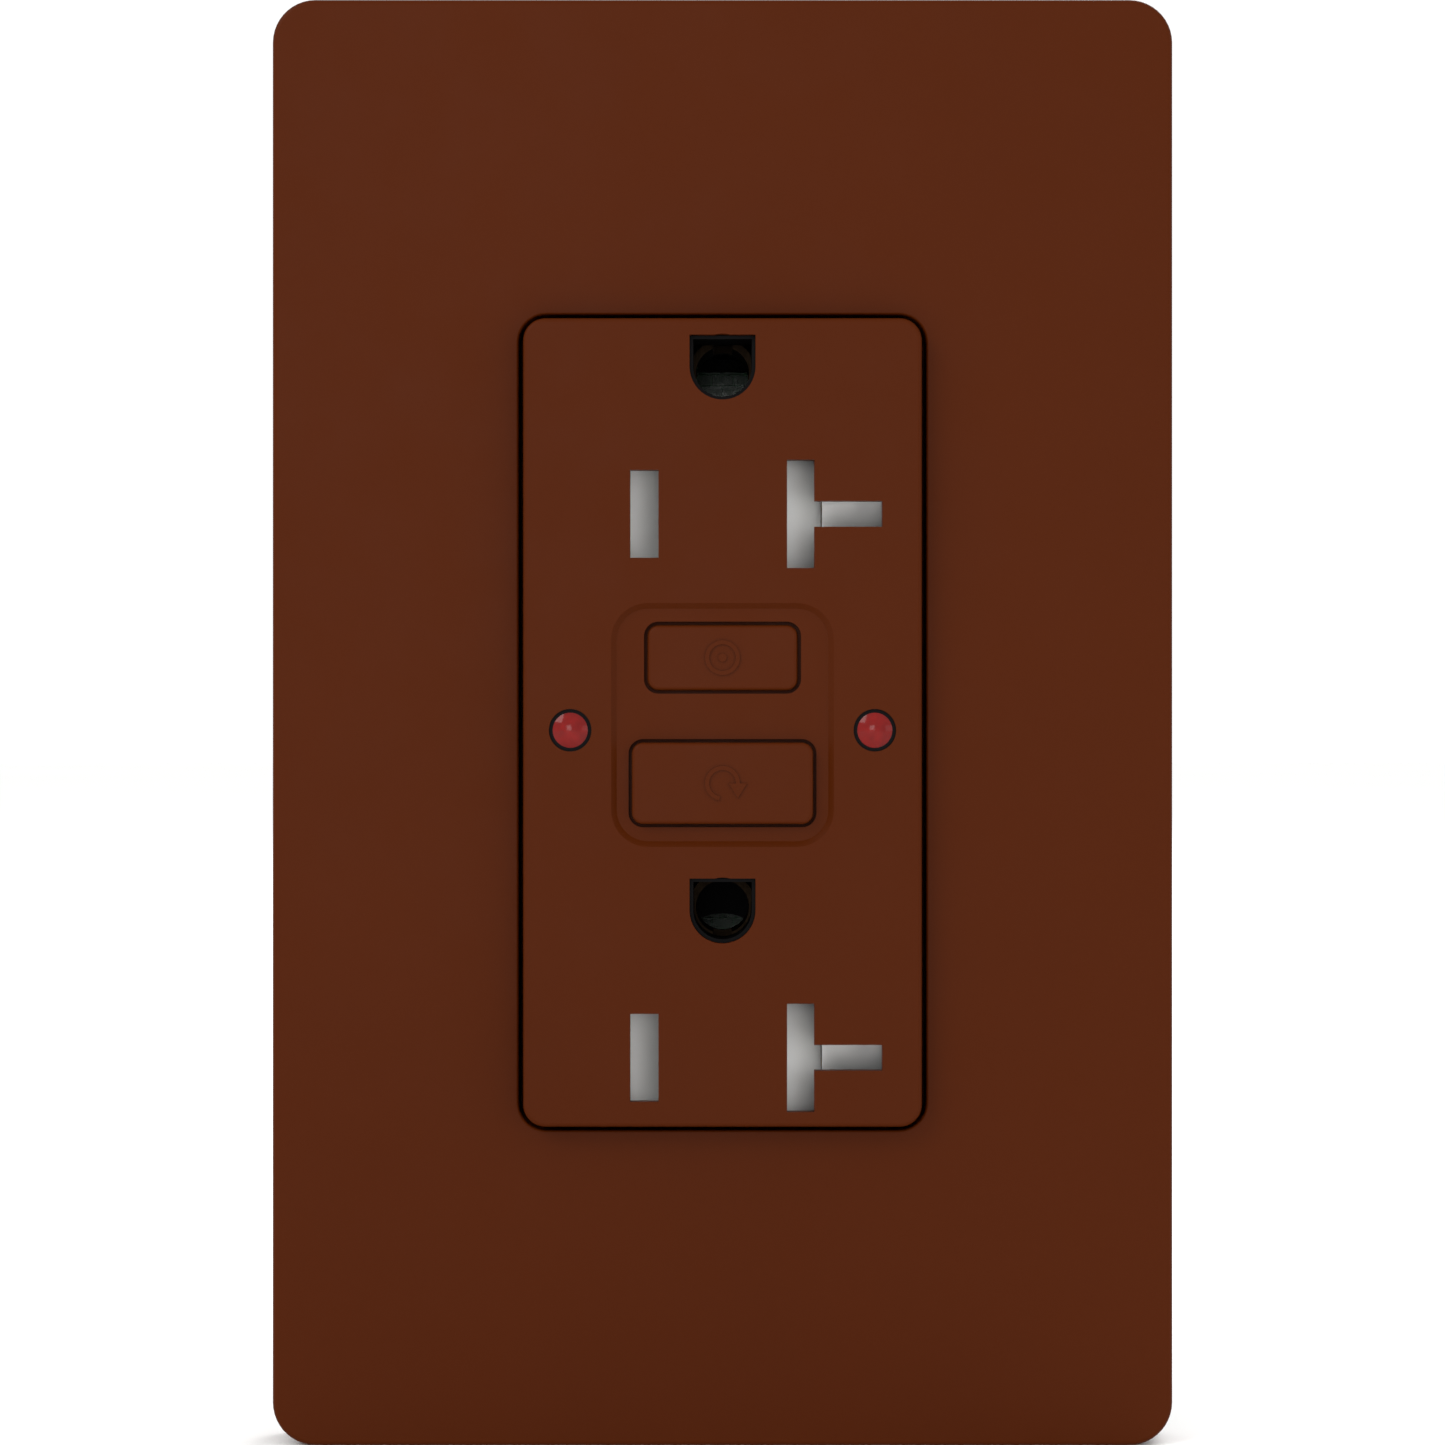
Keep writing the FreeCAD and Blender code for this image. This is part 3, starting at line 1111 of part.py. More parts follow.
# ---- rear housing ----
def rear_housing():
    outside = round_block(BODY_WIDTH, BODY_HEIGHT, BODY_CORNER_R, DECK_Y, HOUSING_END_Y)
    rim = [edge for edge in outside.Edges if edge.BoundBox.YMin > HOUSING_END_Y - LEVEL]
    outside = outside.makeFillet(BUTTON_CORNER_R, rim)
    inner_x, inner_z = BODY_WIDTH / 2 - BODY_WALL, BODY_HEIGHT / 2 - BODY_WALL
    shell = cut(outside, box(-inner_x, inner_x, -BEYOND, FLOOR_Y, -inner_z, inner_z))
    solids = []
    for end in (-1, 1):
        z = end * TERMINAL_Z
        half = RECESS_HALF + SIDE_BLOCK_WALL
        block = box(
            TERMINAL_PLATE_X[0], inner_x + OVERLAP, SIDE_RECESS_Y[0] - SIDE_BLOCK_WALL,
            SIDE_RECESS_Y[1] + SIDE_BLOCK_WALL, z - half, z + half,
        )
        solids += [block, mirror_x(block)]
        low, high = sorted(end * place for place in LEDGE_Z)
        ledge = box(LEDGE_X, inner_x + OVERLAP, CARRIER_END_Y, FLOOR_Y + OVERLAP, low, high)
        solids += [ledge, mirror_x(ledge)]
    bosses = [rod_y(x, z, BODY_BOSS_R, DECK_Y, FLOOR_Y + OVERLAP) for x, z in body_screw_places()]
    solids += [boss.common(outside) for boss in bosses]
    post_places = [(x * BOARD_POST_X, z * BOARD_POST_Z) for x in (-1, 1) for z in (-1, 1)]
    solids += [rod_y(x, z, BOARD_POST_R, BOARD_END_Y, FLOOR_Y + OVERLAP) for x, z in post_places]
    housing = fuse(shell, *solids)
    strap_half = STRAP_WIDTH / 2 + CARRIER_GAP
    cuts = [box(-strap_half, strap_half, 0, DECK_END_Y, -BEYOND, BEYOND)]
    for end in (-1, 1):
        z = end * TERMINAL_Z
        recess = box(TERMINAL_PLATE_X[1], BEYOND, *SIDE_RECESS_Y, z - RECESS_HALF, z + RECESS_HALF)
        seat_half = TERMINAL_HALF_HEIGHT + SEAT_GAP
        seat = box(
            TERMINAL_PLATE_X[0] - PAST, TERMINAL_PLATE_X[1] + PAST, BAR_Y - SEAT_GAP,
            TERMINAL_PLATE_END_Y + SEAT_GAP, z - seat_half, z + seat_half,
        )
        wire_x = TERMINAL_PLATE_X[0] - WIRE_GAP / 2
        offsets = (-WIRE_OFFSET, WIRE_OFFSET)
        ports = [rod_y(wire_x, z + dz, WIRE_PORT_R, FLOOR_Y - PAST, BEYOND) for dz in offsets]
        cuts += [recess, mirror_x(recess), seat, mirror_x(seat)]
        cuts += ports + [mirror_x(port) for port in ports]
    head_r, head_y = BODY_SCREW_HEAD_R + CARRIER_GAP, HOUSING_END_Y - BODY_SCREW_HEAD_THICK
    for x, z in body_screw_places():
        cuts.append(rod_y(x, z, BODY_SCREW_R + SCREW_FIT, -BEYOND, BEYOND))
        cuts.append(rod_y(x, z, head_r, head_y, BEYOND))
    cuts.append(ground_screw_hole(GROUND_SCREW_R + FACE_GAP))
    return cut(housing, *cuts)


def housing_screws():
    screws = []
    for x, z in body_screw_places():
        head_y = HOUSING_END_Y - BODY_SCREW_HEAD_THICK
        shank = rod_y(x, z, BODY_SCREW_R, BODY_SCREW_TIP_Y, head_y)
        head = rod_y(x, z, BODY_SCREW_HEAD_R, head_y, HOUSING_END_Y)
        half, deep = DRIVE_SLOT_WIDTH / 2, HOUSING_END_Y - DRIVE_SLOT_DEPTH
        reach = BODY_SCREW_HEAD_R * CROSS_SHARE
        cross = [
            box(x - reach, x + reach, deep, BEYOND, z - half, z + half),
            box(x - half, x + half, deep, BEYOND, z - reach, z + reach),
        ]
        screws.append(cut(fuse(shank, head), *cross))
    return Part.makeCompound(screws)


# ---- solenoid ----
def solenoid_bobbin():
    low, high = BOBBIN_Z
    bore = PLUNGER_R + PLUNGER_FIT
    tube_part = rod_z(0, COIL_Y, bore + BOBBIN_TUBE_WALL, low, high)
    flanges = [
        rod_z(0, COIL_Y, BOBBIN_R, low, low + BOBBIN_FLANGE),
        rod_z(0, COIL_Y, BOBBIN_R, high - BOBBIN_FLANGE, high),
    ]
    return cut(fuse(tube_part, *flanges), rod_z(0, COIL_Y, bore, -BEYOND, BEYOND))


def solenoid_coil():
    low, high = BOBBIN_Z[0] + BOBBIN_FLANGE + COIL_FIT, BOBBIN_Z[1] - BOBBIN_FLANGE - COIL_FIT
    inner = PLUNGER_R + PLUNGER_FIT + BOBBIN_TUBE_WALL + COIL_FIT
    return cut(rod_z(0, COIL_Y, COIL_R, low, high), rod_z(0, COIL_Y, inner, low, high))


def frame_ends():
    """The inner faces of the solenoid frame, one above and one below the bobbin."""
    return BOBBIN_Z[0] - COIL_FIT, BOBBIN_Z[1] + COIL_FIT


def solenoid_frame():
    low, high = frame_ends()
    half, front = FRAME_HALF_WIDTH, COIL_Y - BOBBIN_R
    lower = box(-half, half, front, BOARD_Y, low - FRAME_PLATE, low)
    upper = box(-half, half, front, BOARD_Y, high, high + FRAME_PLATE)
    base = box(-half, half, BOARD_Y - FRAME_BASE, BOARD_Y, low - FRAME_PLATE, high + FRAME_PLATE)
    bore = rod_z(0, COIL_Y, PLUNGER_R + PLUNGER_FIT + COIL_FIT, -BEYOND, BEYOND)
    return cut(fuse(lower, upper, base), bore)


def plunger():
    nose_z = LATCH_TAB_Z + PLUNGER_GAP
    rod = rod_z(0, COIL_Y, PLUNGER_R, nose_z, PLUNGER_HEAD_Z)
    nose = rod_z(0, COIL_Y, PLUNGER_NOSE_R, nose_z, nose_z + PLUNGER_NOSE_THICK)
    head = rod_z(0, COIL_Y, PLUNGER_HEAD_R, PLUNGER_HEAD_Z, PLUNGER_HEAD_Z + PLUNGER_NOSE_THICK)
    return fuse(rod, nose, head)


def plunger_spring():
    inner = PLUNGER_R + PLUNGER_FIT + COIL_FIT
    span = (frame_ends()[1] + FRAME_PLATE, PLUNGER_HEAD_Z)
    return cut(rod_z(0, COIL_Y, inner + PLUNGER_SPRING_WALL, *span), rod_z(0, COIL_Y, inner, *span))


# ---- sensing cores and board ----
def core_cup():
    y0, y1 = CORE_CUP_Y
    outer = rod_y(0, CORE_Z, CORE_CUP_R, y0, y1)
    room = cut(
        rod_y(0, CORE_Z, CORE_CUP_R - CORE_CUP_WALL, y0 + CORE_CUP_WALL, y1 + PAST),
        rod_y(0, CORE_Z, CORE_BORE_R + CORE_BORE_WALL, y0, y1 + PAST),
    )
    bore = rod_y(0, CORE_Z, CORE_BORE_R, -BEYOND, BEYOND)
    reach = (CORE_CUP_R - CORE_CUP_WALL / 2) / math.sqrt(2)
    corners = [(x * reach, CORE_Z + z * reach) for x in (-1, 1) for z in (-1, 1)]
    legs = [rod_y(x, z, CORE_LEG_R, y1 - PAST, BOARD_Y) for x, z in corners]
    return cut(fuse(cut(outer, room), *legs), bore)


def sense_cores():
    inner, outer = CORE_RING_R
    start = CORE_CUP_Y[0] + CORE_CUP_WALL
    rings = []
    for index in range(2):
        y0 = start + index * (CORE_RING_THICK + CORE_RING_GAP)
        y1 = y0 + CORE_RING_THICK
        rings.append(cut(rod_y(0, CORE_Z, outer, y0, y1), rod_y(0, CORE_Z, inner, y0, y1)))
    return Part.makeCompound(rings)


def circuit_board():
    waist_x, waist_z = BOARD_WAIST
    half_height = BOARD_HALF_HEIGHT
    panel = box(-BOARD_HALF_WIDTH, BOARD_HALF_WIDTH, BOARD_Y, BOARD_END_Y, -half_height, half_height)
    waist = box(-waist_x, waist_x, BOARD_Y, BOARD_END_Y, -waist_z, waist_z)
    return fuse(panel, waist)


def pilot_leds():
    lamps = []
    for x in (-LENS_X, LENS_X):
        body = rod_y(x, LENS_Z, LED_R, BOARD_Y - LED_BASE, BOARD_Y)
        dome = Part.makeSphere(LED_R, FreeCAD.Vector(x, BOARD_Y - LED_BASE, LENS_Z))
        lamps.append(fuse(body, dome.common(box(-BEYOND, BEYOND, 0, BOARD_Y - LED_BASE, -BEYOND, BEYOND))))
    return Part.makeCompound(lamps)


def varistor():
    y = BOARD_Y - VARISTOR_R - VARISTOR_LIFT
    disc = rod_x(y, VARISTOR_Z, VARISTOR_R, *VARISTOR_X)
    middle = sum(VARISTOR_X) / 2
    places = (VARISTOR_Z - VARISTOR_LEG_SPREAD, VARISTOR_Z + VARISTOR_LEG_SPREAD)
    legs = [rod_y(middle, z, CORE_LEG_R, y, BOARD_Y) for z in places]
    return fuse(disc, *legs)


def capacitor():
    can = box(*CAPACITOR_X, CAPACITOR_Y, BOARD_Y, *CAPACITOR_Z)
    return can.makeFillet(BUTTON_EDGE_R, edges_along(can, FreeCAD.Vector(0, 1, 0)))


def controller_chip():
    half_x, half_z = CHIP_HALF
    rear_y, foot_y = BOARD_END_Y + CHIP_THICK, BOARD_END_Y + CHIP_LEG_THICK
    body = slot(-half_x, half_x, 2 * half_z, CHIP_Z, BOARD_END_Y + CHIP_LIFT, rear_y)
    inner, outer = half_x - OVERLAP, half_x + CHIP_LEG_REACH
    legs = []
    for index in range(CHIP_LEGS):
        z = CHIP_Z + (index - (CHIP_LEGS - 1) / 2) * 2 * half_z / CHIP_LEGS
        for x0, x1 in ((-outer, -inner), (inner, outer)):
            legs.append(slot(x0, x1, CHIP_LEG_THICK, z, BOARD_END_Y, foot_y))
    return fuse(body, *legs)


def build():
    os.makedirs("parts", exist_ok=True)
    save("front_plate", front_plate())
    save("plate_adapter", plate_adapter())
    save("adapter_screws", adapter_screws())
    save("face_cover", face_cover())
    save("test_button", test_button())
    save("reset_button", reset_button())
    save("light_pipes", light_pipes())
    save("mounting_strap", mounting_strap())
    save("ground_contacts", ground_contacts())
    save("ground_rivets", ground_rivets())
    save("ground_screw", ground_screw())
    save("box_screws", box_screws())
    save("screw_retainers", screw_retainers())
    save("shutter_trays", shutter_trays())
    for outlet in OUTLET_HEIGHTS:
        save(f"{outlet}_shutter", main_shutter(outlet))
        save(f"{outlet}_branch_shutter", branch_shutter(outlet))
        save(f"{outlet}_shutter_spring", shutter_spring(outlet))
        save(f"{outlet}_branch_spring", branch_spring(outlet))
    for pole, side in (("hot", -1), ("neutral", 1)):
        save(f"{pole}_busbar", busbar(side))
        save(f"{pole}_line_conductor", line_conductor(side))
        save(f"{pole}_contact_arm", contact_arm(side))
        save(f"{pole}_arm_contact", arm_contact(side))
        for feed, end in (("line", -1), ("load", 1)):
            save(f"{feed}_{pole}_screw", terminal_screw(side, end))
            save(f"{feed}_{pole}_clamp", clamp_plate(side, end))
    save("fixed_contacts", fixed_contacts())
    save("contact_carrier", contact_carrier())
    save("test_blade", test_blade())
    save("reset_pin", reset_pin())
    save("reset_spring", reset_spring())
    save("lifter", lifter())
    save("latch_plate", latch_plate())
    save("latch_spring", latch_spring())
    save("solenoid_bobbin", solenoid_bobbin())
    save("solenoid_coil", solenoid_coil())
    save("solenoid_frame", solenoid_frame())
    save("plunger", plunger())
    save("plunger_spring", plunger_spring())
    save("core_cup", core_cup())
    save("sense_cores", sense_cores())
    save("circuit_board", circuit_board())
    save("pilot_leds", pilot_leds())
    save("varistor", varistor())
    save("capacitor", capacitor())
    save("controller_chip", controller_chip())
    save("rear_housing", rear_housing())
    save("housing_screws", housing_screws())


build()
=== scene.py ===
import json
import math
from collections import namedtuple

import bmesh
import bpy
from bpy.props import FloatProperty, FloatVectorProperty, IntProperty, PointerProperty
from mathutils import Matrix, Vector


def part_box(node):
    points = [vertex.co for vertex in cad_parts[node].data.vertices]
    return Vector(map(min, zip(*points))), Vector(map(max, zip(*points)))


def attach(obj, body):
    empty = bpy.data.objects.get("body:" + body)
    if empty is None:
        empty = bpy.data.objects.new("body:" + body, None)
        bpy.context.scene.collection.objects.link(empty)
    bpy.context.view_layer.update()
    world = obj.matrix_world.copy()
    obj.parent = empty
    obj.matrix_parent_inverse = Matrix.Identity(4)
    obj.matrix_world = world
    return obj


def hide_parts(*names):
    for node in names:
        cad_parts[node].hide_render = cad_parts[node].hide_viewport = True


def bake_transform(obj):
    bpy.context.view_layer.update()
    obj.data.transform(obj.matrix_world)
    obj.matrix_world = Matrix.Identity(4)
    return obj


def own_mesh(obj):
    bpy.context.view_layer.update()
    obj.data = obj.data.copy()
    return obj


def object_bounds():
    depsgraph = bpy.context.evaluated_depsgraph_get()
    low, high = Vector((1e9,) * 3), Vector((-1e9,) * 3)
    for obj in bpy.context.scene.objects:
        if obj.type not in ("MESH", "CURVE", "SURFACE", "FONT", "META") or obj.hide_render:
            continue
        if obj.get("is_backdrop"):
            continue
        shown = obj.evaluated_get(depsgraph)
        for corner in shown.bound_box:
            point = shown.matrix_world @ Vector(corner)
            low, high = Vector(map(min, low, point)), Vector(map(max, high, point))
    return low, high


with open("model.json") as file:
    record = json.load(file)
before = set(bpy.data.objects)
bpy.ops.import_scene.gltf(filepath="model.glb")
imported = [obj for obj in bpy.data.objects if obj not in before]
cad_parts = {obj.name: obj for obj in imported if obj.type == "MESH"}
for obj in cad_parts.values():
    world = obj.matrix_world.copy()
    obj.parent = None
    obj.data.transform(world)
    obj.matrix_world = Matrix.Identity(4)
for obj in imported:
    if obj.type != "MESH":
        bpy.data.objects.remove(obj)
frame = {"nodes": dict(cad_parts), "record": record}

bl_info = {
    "name": "Ground-fault receptacle",
    "version": (1, 0, 0),
    "blender": (4, 5, 0),
    "location": "3D View > Sidebar > Receptacle",
    "description": "Gives a duplex ground-fault receptacle its finishes, springs, screws, windings and stage",
    "category": "Object",
}

MM = 0.001
TURN = 2 * math.pi
OUTLETS = ("upper", "lower")
POLES = ("hot", "neutral")
FEEDS = ("line", "load")
DEVICE = "device"
# the ground contacts get brass darkened nearly to black: painted shade for their depth in the ground holes
SHADE_FINISH = {"ground_contacts": "tarnished_brass"}
AXES = {"x": Vector((1, 0, 0)), "y": Vector((0, 1, 0)), "z": Vector((0, 0, 1))}

MERGE = 0.0005 * MM         # points this close are one
CREASE = math.radians(35)   # a sharper edge than this is shaded sharp
CORNER = TURN / 8           # a sharper edge than this is bevelled
RIM = 0.9                   # share of the height above which an edge is on the raised rim

NOISE_LOW, NOISE_HIGH = 0.3, 0.7
FLOW, HANDLING, HAZE, WEAVE = 14 * MM, 5 * MM, 0.8 * MM, 0.5 * MM
BLOOM, MARKS = 2.2 * MM, 0.12 * MM
GLOSS_SPREAD = 0.04
TRACE_SCALE, TRACE_WIDTH = 260, 0.012

ARC_STEPS, HEAD_STEPS, SHANK_STEPS = 5, 40, 24
BAND_STEPS, SLEEVE_STEPS, DOT_STEPS, JOINT_STEPS = 40, 24, 20, 16
RIDGE_FOOT, RIDGE_LAND = 0.42, 0.07   # half widths of a thread's ridge, against the pitch
RIDGE_SUNK = 0.04 * MM
SLOT_REACH = 2.4                      # against the head's radius, so the slot runs right across
CROSS_REACH, CROSS_WIDTH, CROSS_DEPTH = 1.15, 0.9, 2.8
HEAD_EASE, SHANK_SUNK, THREAD_GAP = 0.12 * MM, 0.1 * MM, 0.15 * MM
TIP_CHAMFER, POINT_LENGTH = 0.5 * MM, 1.6 * MM
ARROW_REACH, ARROW_LENGTH = 2.2, 1.6
TICK = 4                              # length of the gauge's end marks, in lines

WINDING_WIRE, WINDING_STEPS, WINDING_SIDES = 0.26 * MM, 28, 6
CORE_INSET = 1.4                      # the winding's core below its outside, in wire radii
JOINT_RISE = 0.7                      # height of a solder joint against its radius
CHIP_BODY, CAP_PLACE, CAP_LENGTH = 0.7, 0.42, 0.16   # against the length of a small resistor
LEAD_SPREAD, COIL_SPREAD = 0.68, 0.8  # places of leads, against half the part's size

FLOOR_HALF, FLOOR_CLOUD, FLOOR_DIP = 6.0, 0.6, 0.985
PLATE_EDGE = 0.4 * MM
CLIP_NEAR, CLIP_FAR = 0.01, 50
LAMPS = (   # setting, place, size
    ("key", (-1.0, -1.1, 1.0), 0.75),
    ("fill", (1.3, -0.9, -0.2), 1.2),
    ("spark", (-0.12, -1.2, 0.16), 0.3),
    ("back", (0.6, 1.2, 1.1), 0.9),
)

# a terminal screw's head radius is read from its node
ScrewSize = namedtuple("ScrewSize", "head_radius head_height shank_radius slot depth rounding point cross")
BOX_SCREW = ScrewSize(3.5 * MM, 2.1 * MM, 1.75 * MM, 1.0 * MM, 0.9 * MM, 0.45, 0.0, False)
ADAPTER_SCREW = ScrewSize(3.26 * MM, 1.2 * MM, 1.75 * MM, 1.0 * MM, 0.9 * MM, 0.45, 0.0, False)
TERMINAL_SCREW = ScrewSize(0.0, 2.5 * MM, 2.0 * MM, 1.1 * MM, 1.1 * MM, 0.3, 0.0, True)
GROUND_SCREW = ScrewSize(4.0 * MM, 2.6 * MM, 2.0 * MM, 1.1 * MM, 1.1 * MM, 0.3, 0.0, True)
HOUSING_SCREW = ScrewSize(2.2 * MM, 1.6 * MM, 1.2 * MM, 0.7 * MM, 0.8 * MM, 0.5, 0.8, True)


def painted(red, green, blue):
    """A colour from 0 to 255 on a screen, as the linear light that a shader takes."""
    def linear(value):
        share = value / 255
        return share / 12.92 if share <= 0.04045 else ((share + 0.055) / 1.055) ** 2.4
    return linear(red), linear(green), linear(blue)


def colour(label, what, red, green, blue):
    return FloatVectorProperty(name=label, description=what, subtype="COLOR", size=3, min=0, max=1,
                               default=painted(red, green, blue))


def length(label, what, millimetres):
    return FloatProperty(name=label, description=what, unit="LENGTH", subtype="DISTANCE", precision=6,
                         min=0, default=millimetres * MM)


def share(label, what, default, top=1.0):
    return FloatProperty(name=label, description=what, subtype="FACTOR", min=0, max=top, default=default)


def count(label, what, default):
    return IntProperty(name=label, description=what, min=1, default=default)


# ---- settings ----

class PlasticSettings(bpy.types.PropertyGroup):
    brown: colour("Brown", "Plate, face and buttons", 71, 26, 1)
    frame_black: colour("Frame black", "Frame that the plate clips onto", 40, 40, 42)
    housing_black: colour("Housing black", "Body behind the strap", 38, 38, 41)
    shutter_grey: colour("Shutter grey", "Shutters behind the blade slots", 226, 226, 224)
    tray_grey: colour("Tray grey", "Trays that hold the shutters", 58, 57, 58)
    carrier_ivory: colour("Carrier ivory", "Carrier of the contacts", 214, 207, 186)
    lifter_white: colour("Lifter white", "Lifter of the contact arms", 222, 222, 216)
    retainer_white: colour("Retainer white", "Washers that hold the box screws", 228, 228, 222)
    # near-black moulding of the bobbin and core cup; on the ground hole sleeves and lens rings the same black
    # is painted shade
    bobbin_black: colour("Bobbin black", "Solenoid bobbin, core cup, liners and lens seats", 9, 8, 9)
    lens_red: colour("Lens red", "Indicator lenses and their diodes", 118, 10, 6)
    satin: share("Satin roughness", "Roughness of the brown mouldings", 0.42)
    sheen: share("Surface reflection", "Specular level of the brown mouldings", 0.06)
    grain: length("Mould grain", "Size of the grain left by the mould", 0.18)


class MetalSettings(bpy.types.PropertyGroup):
    zinc: colour("Zinc", "Mounting strap and solenoid frame", 196, 198, 196)
    steel: colour("Screw steel", "Plated steel screws and pins", 178, 179, 178)
    spring: colour("Spring wire", "Drawn spring wire and blade", 160, 162, 165)
    brass: colour("Brass", "Stamped contacts and bars", 198, 160, 88)
    # painted shade: brass darkened nearly to black so the contacts read as the shade deep in the ground holes
    tarnish: colour("Tarnished brass", "Ground contacts deep in their holes", 34, 26, 18)
    nickel: colour("Nickel", "Neutral screws and clamps", 205, 203, 197)
    silver: colour("Silver", "Riveted contact faces", 224, 224, 221)
    green: colour("Green screw", "Dyed plating of the grounding screw", 58, 132, 74)
    copper: colour("Copper wire", "Enamelled magnet wire", 176, 96, 46)


class CircuitSettings(bpy.types.PropertyGroup):
    mask: colour("Solder mask", "Face of the circuit board", 30, 104, 54)
    varistor: colour("Varistor blue", "Dipped disc of the varistor", 46, 84, 158)
    capacitor: colour("Capacitor yellow", "Moulded box of the capacitor", 208, 160, 46)
    chip: colour("Chip black", "Moulded package of the controller", 36, 36, 37)
    core: colour("Core grey", "Pressed sensing cores", 72, 66, 62)


class ThreadSettings(bpy.types.PropertyGroup):
    machine_pitch: length("Machine pitch", "Pitch of the 6-32 and terminal threads", 0.794)
    forming_pitch: length("Forming pitch", "Pitch of the housing screws", 1.0)
    depth: share("Thread depth", "Depth of a thread against its pitch", 0.45)
    steps: count("Steps a turn", "Segments in one turn of a thread", 20)


class MarkSettings(bpy.types.PropertyGroup):
    radius: length("Radius", "Radius of the raised ring and arrow", 1.25)
    line: length("Line", "Width of the raised line", 0.34)
    relief: length("Relief", "Height of the marks, half of it sunk into the button", 0.28)
    sweep: share("Sweep", "Share of a turn that the arrow runs", 0.72)


class SpringSettings(bpy.types.PropertyGroup):
    end_play: length("End play", "Room between a coil and the part that presses it", 0.04)
    leaf_thick: length("Leaf thickness", "Thickness of the blade under the test button", 0.3)
    leaf_steps: count("Leaf steps", "Cuts along the blade, where it bends", 20)
    stem: length("Stem", "Radius of the test button's stem", 1.0)


# painted shade: black sleeves in the ground holes and black rings round the lenses stand for the shadow there
class ShadeLinerSettings(bpy.types.PropertyGroup):
    radius: length("Radius", "Outer radius of a ground hole liner", 2.66)
    flat: length("Flat", "Height of its flat top above its centre", 2.58)
    wall: length("Wall", "Thickness of the liner", 0.28)
    depth: length("Depth", "How far the liner reaches into the face", 5.75)
    sunk: length("Sunk", "How far it starts behind the front of the face", 0.8)
    contact_half: length("Contact half height", "Half the height of a ground contact's base", 3.0)
    lens_flange: length("Lens flange", "Radius of the flange behind a lens", 2.13)
    seat: length("Lens seat", "Mean radius of the ring round a lens", 1.575)
    seat_line: length("Seat width", "Width of the ring round a lens", 0.27)
    seat_depth: length("Seat depth", "Length of the ring, front to back", 1.2)
    seat_rise: length("Seat rise", "How far the ring starts before the liners", 0.6)


class ReliefSettings(bpy.types.PropertyGroup):
    height: length("Height", "Height of the relief, part of it sunk into the housing", 0.6)
    sunk: length("Sunk", "Depth of the relief's foot in the housing", 0.2)
    line: length("Line", "Width of ribs, borders and collars", 0.8)
    easing: length("Easing", "Bevel of the relief's corners", 0.12)
    collar: length("Collar", "Mean radius of a wire port collar", 2.3)
    port_beside: length("Port beside clamp", "From the clamp's outer face to the middle of a wire", 1.1)
    port_offset: length("Port offset", "From the middle of the clamp to the middle of a wire", 3.2)
    panel_width: length("Panel width", "Width of the bordered panel on the back", 21.0)
    panel_height: length("Panel height", "Height of the bordered panel on the back", 38.0)
    gauge_length: length("Strip gauge", "Length of wire to strip", 15.9)
    gauge_rise: length("Gauge rise", "Height of the gauge above the housing's lower end", 8.0)
    grip_length: length("Grip length", "Length of a finger rib, front to back", 13.0)
    grip_pitch: length("Grip pitch", "Distance between finger ribs", 2.4)
    grips: count("Grips", "Finger ribs above and below the middle one", 3)


class BoardSettings(bpy.types.PropertyGroup):
    joint: length("Solder joint", "Radius of a solder joint", 0.75)
    sunk: length("Sunk", "Depth of a joint's foot in the board", 0.1)
    chip_length: length("Chip length", "Length of a small resistor with its caps", 2.0)
    chip_width: length("Chip width", "Width of a small resistor", 1.25)
    chip_height: length("Chip height", "Height of a small resistor", 0.5)
    pitch: length("Chip pitch", "Distance between small resistors", 3.4)
    columns: count("Chip columns", "Small resistors in a row", 6)
    row_low: FloatProperty(name="Lower row", description="Level of the lower row of small resistors",
                           unit="LENGTH", subtype="DISTANCE", default=-9.0 * MM)
    row_high: length("Upper row", "Level of the upper row of small resistors", 26.0)


class StageSettings(bpy.types.PropertyGroup):
    view_half_angle: FloatProperty(name="Half view angle", description="Half of the camera's view angle",
                                   subtype="ANGLE", default=math.radians(9.4))
    key: FloatProperty(name="Key light", description="Power of the soft light at the upper left, in watts",
                       default=8.5)
    fill: FloatProperty(name="Fill light", description="Power of the light at the lower right, in watts",
                        default=4.0)
    spark: FloatProperty(name="Spark light", description="Power of the small light near the camera, in watts",
                         default=1.2)
    back: FloatProperty(name="Back light", description="Power of the light behind, in watts", default=14.0)
    sky: FloatProperty(name="Sky", description="Strength of the light from all round", default=1.06)
    pale: colour("Pale", "Floor", 249, 249, 248)


# ---- finishes ----

def new_finish(name):
    """A material, its shader and the coordinates that its pattern reads."""
    finish = bpy.data.materials.new(name)
    finish.use_nodes = True
    tree = finish.node_tree
    shader = tree.nodes["Principled BSDF"]
    place = tree.nodes.new("ShaderNodeTexCoord")
    return finish, tree, shader, place


def noise(tree, place, size, detail=2.0, stretch=(1, 1, 1)):
    """Noise of a feature size in metres, read in the object's own coordinates."""
    mapping = tree.nodes.new("ShaderNodeMapping")
    mapping.inputs["Scale"].default_value = stretch
    texture = tree.nodes.new("ShaderNodeTexNoise")
    texture.inputs["Scale"].default_value = 1 / size
    texture.inputs["Detail"].default_value = detail
    tree.links.new(place.outputs["Object"], mapping.inputs["Vector"])
    tree.links.new(mapping.outputs["Vector"], texture.inputs["Vector"])
    return texture.outputs["Fac"]


def ranged(tree, source, low, high):
    """The source, over the range that noise mostly fills, brought to between low and high."""
    node = tree.nodes.new("ShaderNodeMapRange")
    node.inputs["From Min"].default_value = NOISE_LOW
    node.inputs["From Max"].default_value = NOISE_HIGH
    node.inputs["To Min"].default_value = low
    node.inputs["To Max"].default_value = high
    tree.links.new(source, node.inputs["Value"])
    return node.outputs["Result"]


